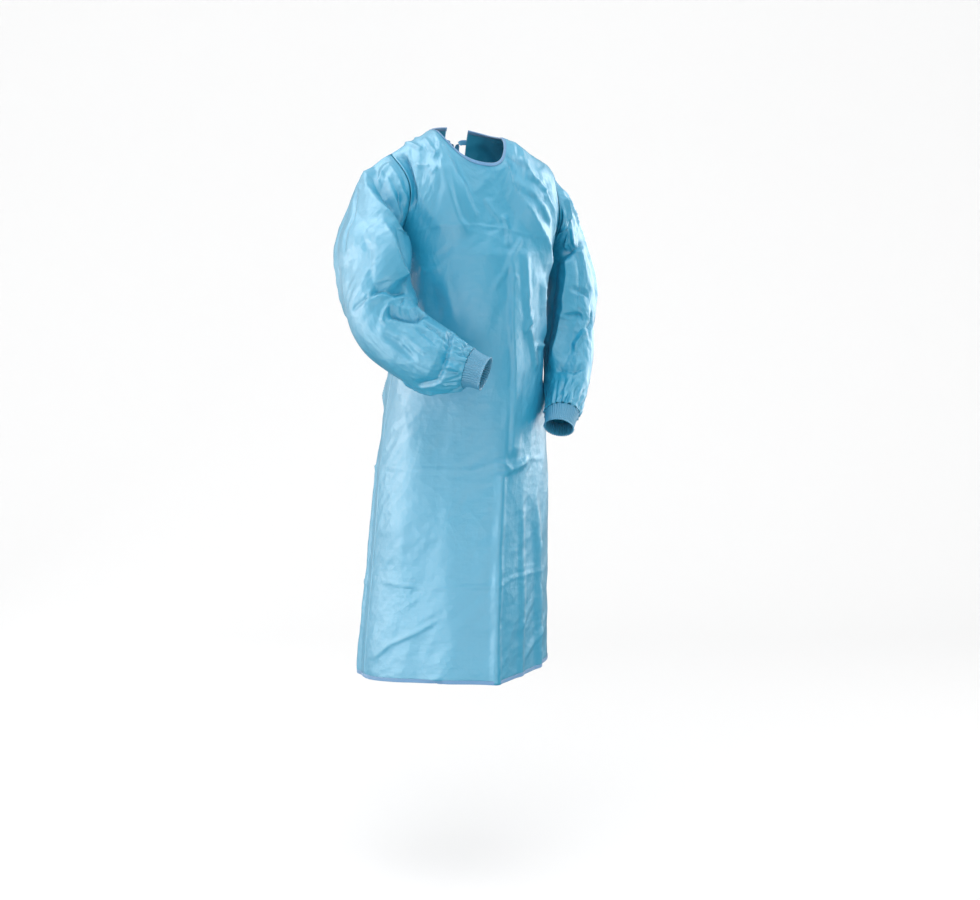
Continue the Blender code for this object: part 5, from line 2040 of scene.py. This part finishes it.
@dataclass
class Apron:
    """The whole apron."""

    cloth: Material
    sleeve_cloth: Material
    cuff: Material
    binding: Material
    tie: Material
    thread: Material
    seam_thread: Material
    neck_width: float = 0.0058
    hem_width: float = 0.0062
    # Row of the sleeve's cloth that the armhole stitches follow, its place down the cap, and their rise
    seam_row: int = 4
    seam_place: float = 0.05
    seam_rise: float = 0.00016
    made: dict[str, tuple | list | Piece] = field(default_factory=dict)

    def panels(self) -> None:
        """Front and back panels."""
        self.made["front"] = FrontPanel().build(self.cloth)
        for side, word in SIDES:
            self.made["back_" + word] = BackPanel(side, word).build(self.cloth)

    def sleeves(self) -> None:
        """Sleeves and cuffs."""
        for (side, word), creases in zip(SIDES, (RIGHT_SLEEVE_CREASES, LEFT_SLEEVE_CREASES)):
            self.made["sleeve_" + word] = Sleeve(ARMS[side], word, creases).build(self.sleeve_cloth)
            self.made["cuff_" + word] = Cuff(ARMS[side], word).build(self.cuff)

    def edge(self, name: str, first_row: bool, low: float, high: float, width: float) -> Edge:
        """A panel's upper or lower edge, over a range of its shares across.

        Args:
            name: The panel's name among what is made.
            first_row: Whether it is the upper edge, or else the lower.
            low: Share at which the range starts.
            high: Share at which it ends.
            width: Distance down the cloth to the tape's selvedge.

        Returns:
            The edge.
        """
        _, sheet = self.made[name]
        outward = over_shoulder(sheet.points, -1 if name == "front" else 1)
        share = sheet.across[0] / sheet.across[0, -1]
        inside = np.flatnonzero((share >= low - 1e-6) & (share <= high + 1e-6))
        columns = slice(inside[0], inside[-1] + 1)
        return Edge.of(sheet, outward, first_row, columns, width)

    def bindings(self) -> None:
        """The tapes over the neckline and the hem."""
        neck = Edge.joined([
            self.edge("back_right", True, 0.0, BACK_NECK_SHARE, self.neck_width),
            self.edge("front", True, -NECK_SHARE, NECK_SHARE, self.neck_width),
            self.edge("back_left", True, 0.0, BACK_NECK_SHARE, self.neck_width).reversed(),
        ])
        hem = Edge.joined([
            self.edge("back_right", False, 0.0, 1.0, self.hem_width),
            self.edge("front", False, -1.0, 1.0, self.hem_width),
            self.edge("back_left", False, 0.0, 1.0, self.hem_width).reversed(),
        ])
        for name, edge, width in (("neck", neck, self.neck_width), ("hem", hem, self.hem_width)):
            tape = Binding(name + "_tape", width, name + "_binding")
            self.made[name] = tape.build(edge, self.binding, self.thread)

    def ties(self) -> None:
        """The two pairs of ties."""
        behind = Surface.over([self.made["back_right"][0], self.made["back_left"][0]])
        for tie in (Tie("neck_tie", width=0.010, z=-0.002, start=0.040, tail=0.130),
                    Tie("waist_tie", width=0.016, z=-0.405, start=0.075, tail=0.250)):
            self.made[tie.name] = tie.build(behind, self.tie, self.seam_thread)

    def seams(self) -> None:
        """Top stitching beside the seams."""
        rows = Stitching(0.0034, 0.0024, 0.00022)
        for side, word in SIDES:
            _, sheet = self.made["sleeve_" + word]
            line = sheet.points[self.seam_row]
            normals = sheet.normals()[self.seam_row]
            outward = line - ARMS[side].middle(np.full(len(line), self.seam_place))
            normals = normals * np.sign(dot(normals, outward))
            paths = [(line + normals * self.seam_rise, normals)]
            stitches = rows.build("armhole_stitches_" + word, paths, self.seam_thread, "cloth")
            self.made["armhole_" + word] = [stitches]

    def declare(self) -> None:
        """Unpack the armhole stitches, bindings and ties that were made; nothing is changed."""
        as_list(self.made["armhole_right"])
        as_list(self.made["armhole_left"])
        for name, flat in (("neck", (0.42, 0.017)), ("hem", (1.10, 0.020))):
            tape, stitches = self.made[name]
        for tie, flat in (("neck_tie", (0.010, 0.17)), ("waist_tie", (0.016, 0.32))):
            right, left, stitches, *wraps = self.made[tie]
            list(wraps)

    def build(self) -> None:
        self.panels()
        self.sleeves()
        self.bindings()
        self.ties()
        self.seams()
        self.declare()


def main() -> None:
    """Build the apron in its studio."""
    logging.basicConfig(level=logging.INFO, format="%(name)s %(message)s")
    nonwoven_group()
    weave_group()
    finishes = (CLOTH, SLEEVE_CLOTH, CUFF, BINDING, TIE, THREAD, SEAM_THREAD)
    Apron(*[finish.material() for finish in finishes]).build()
    Studio().build()


if __name__ == "__main__":
    main()
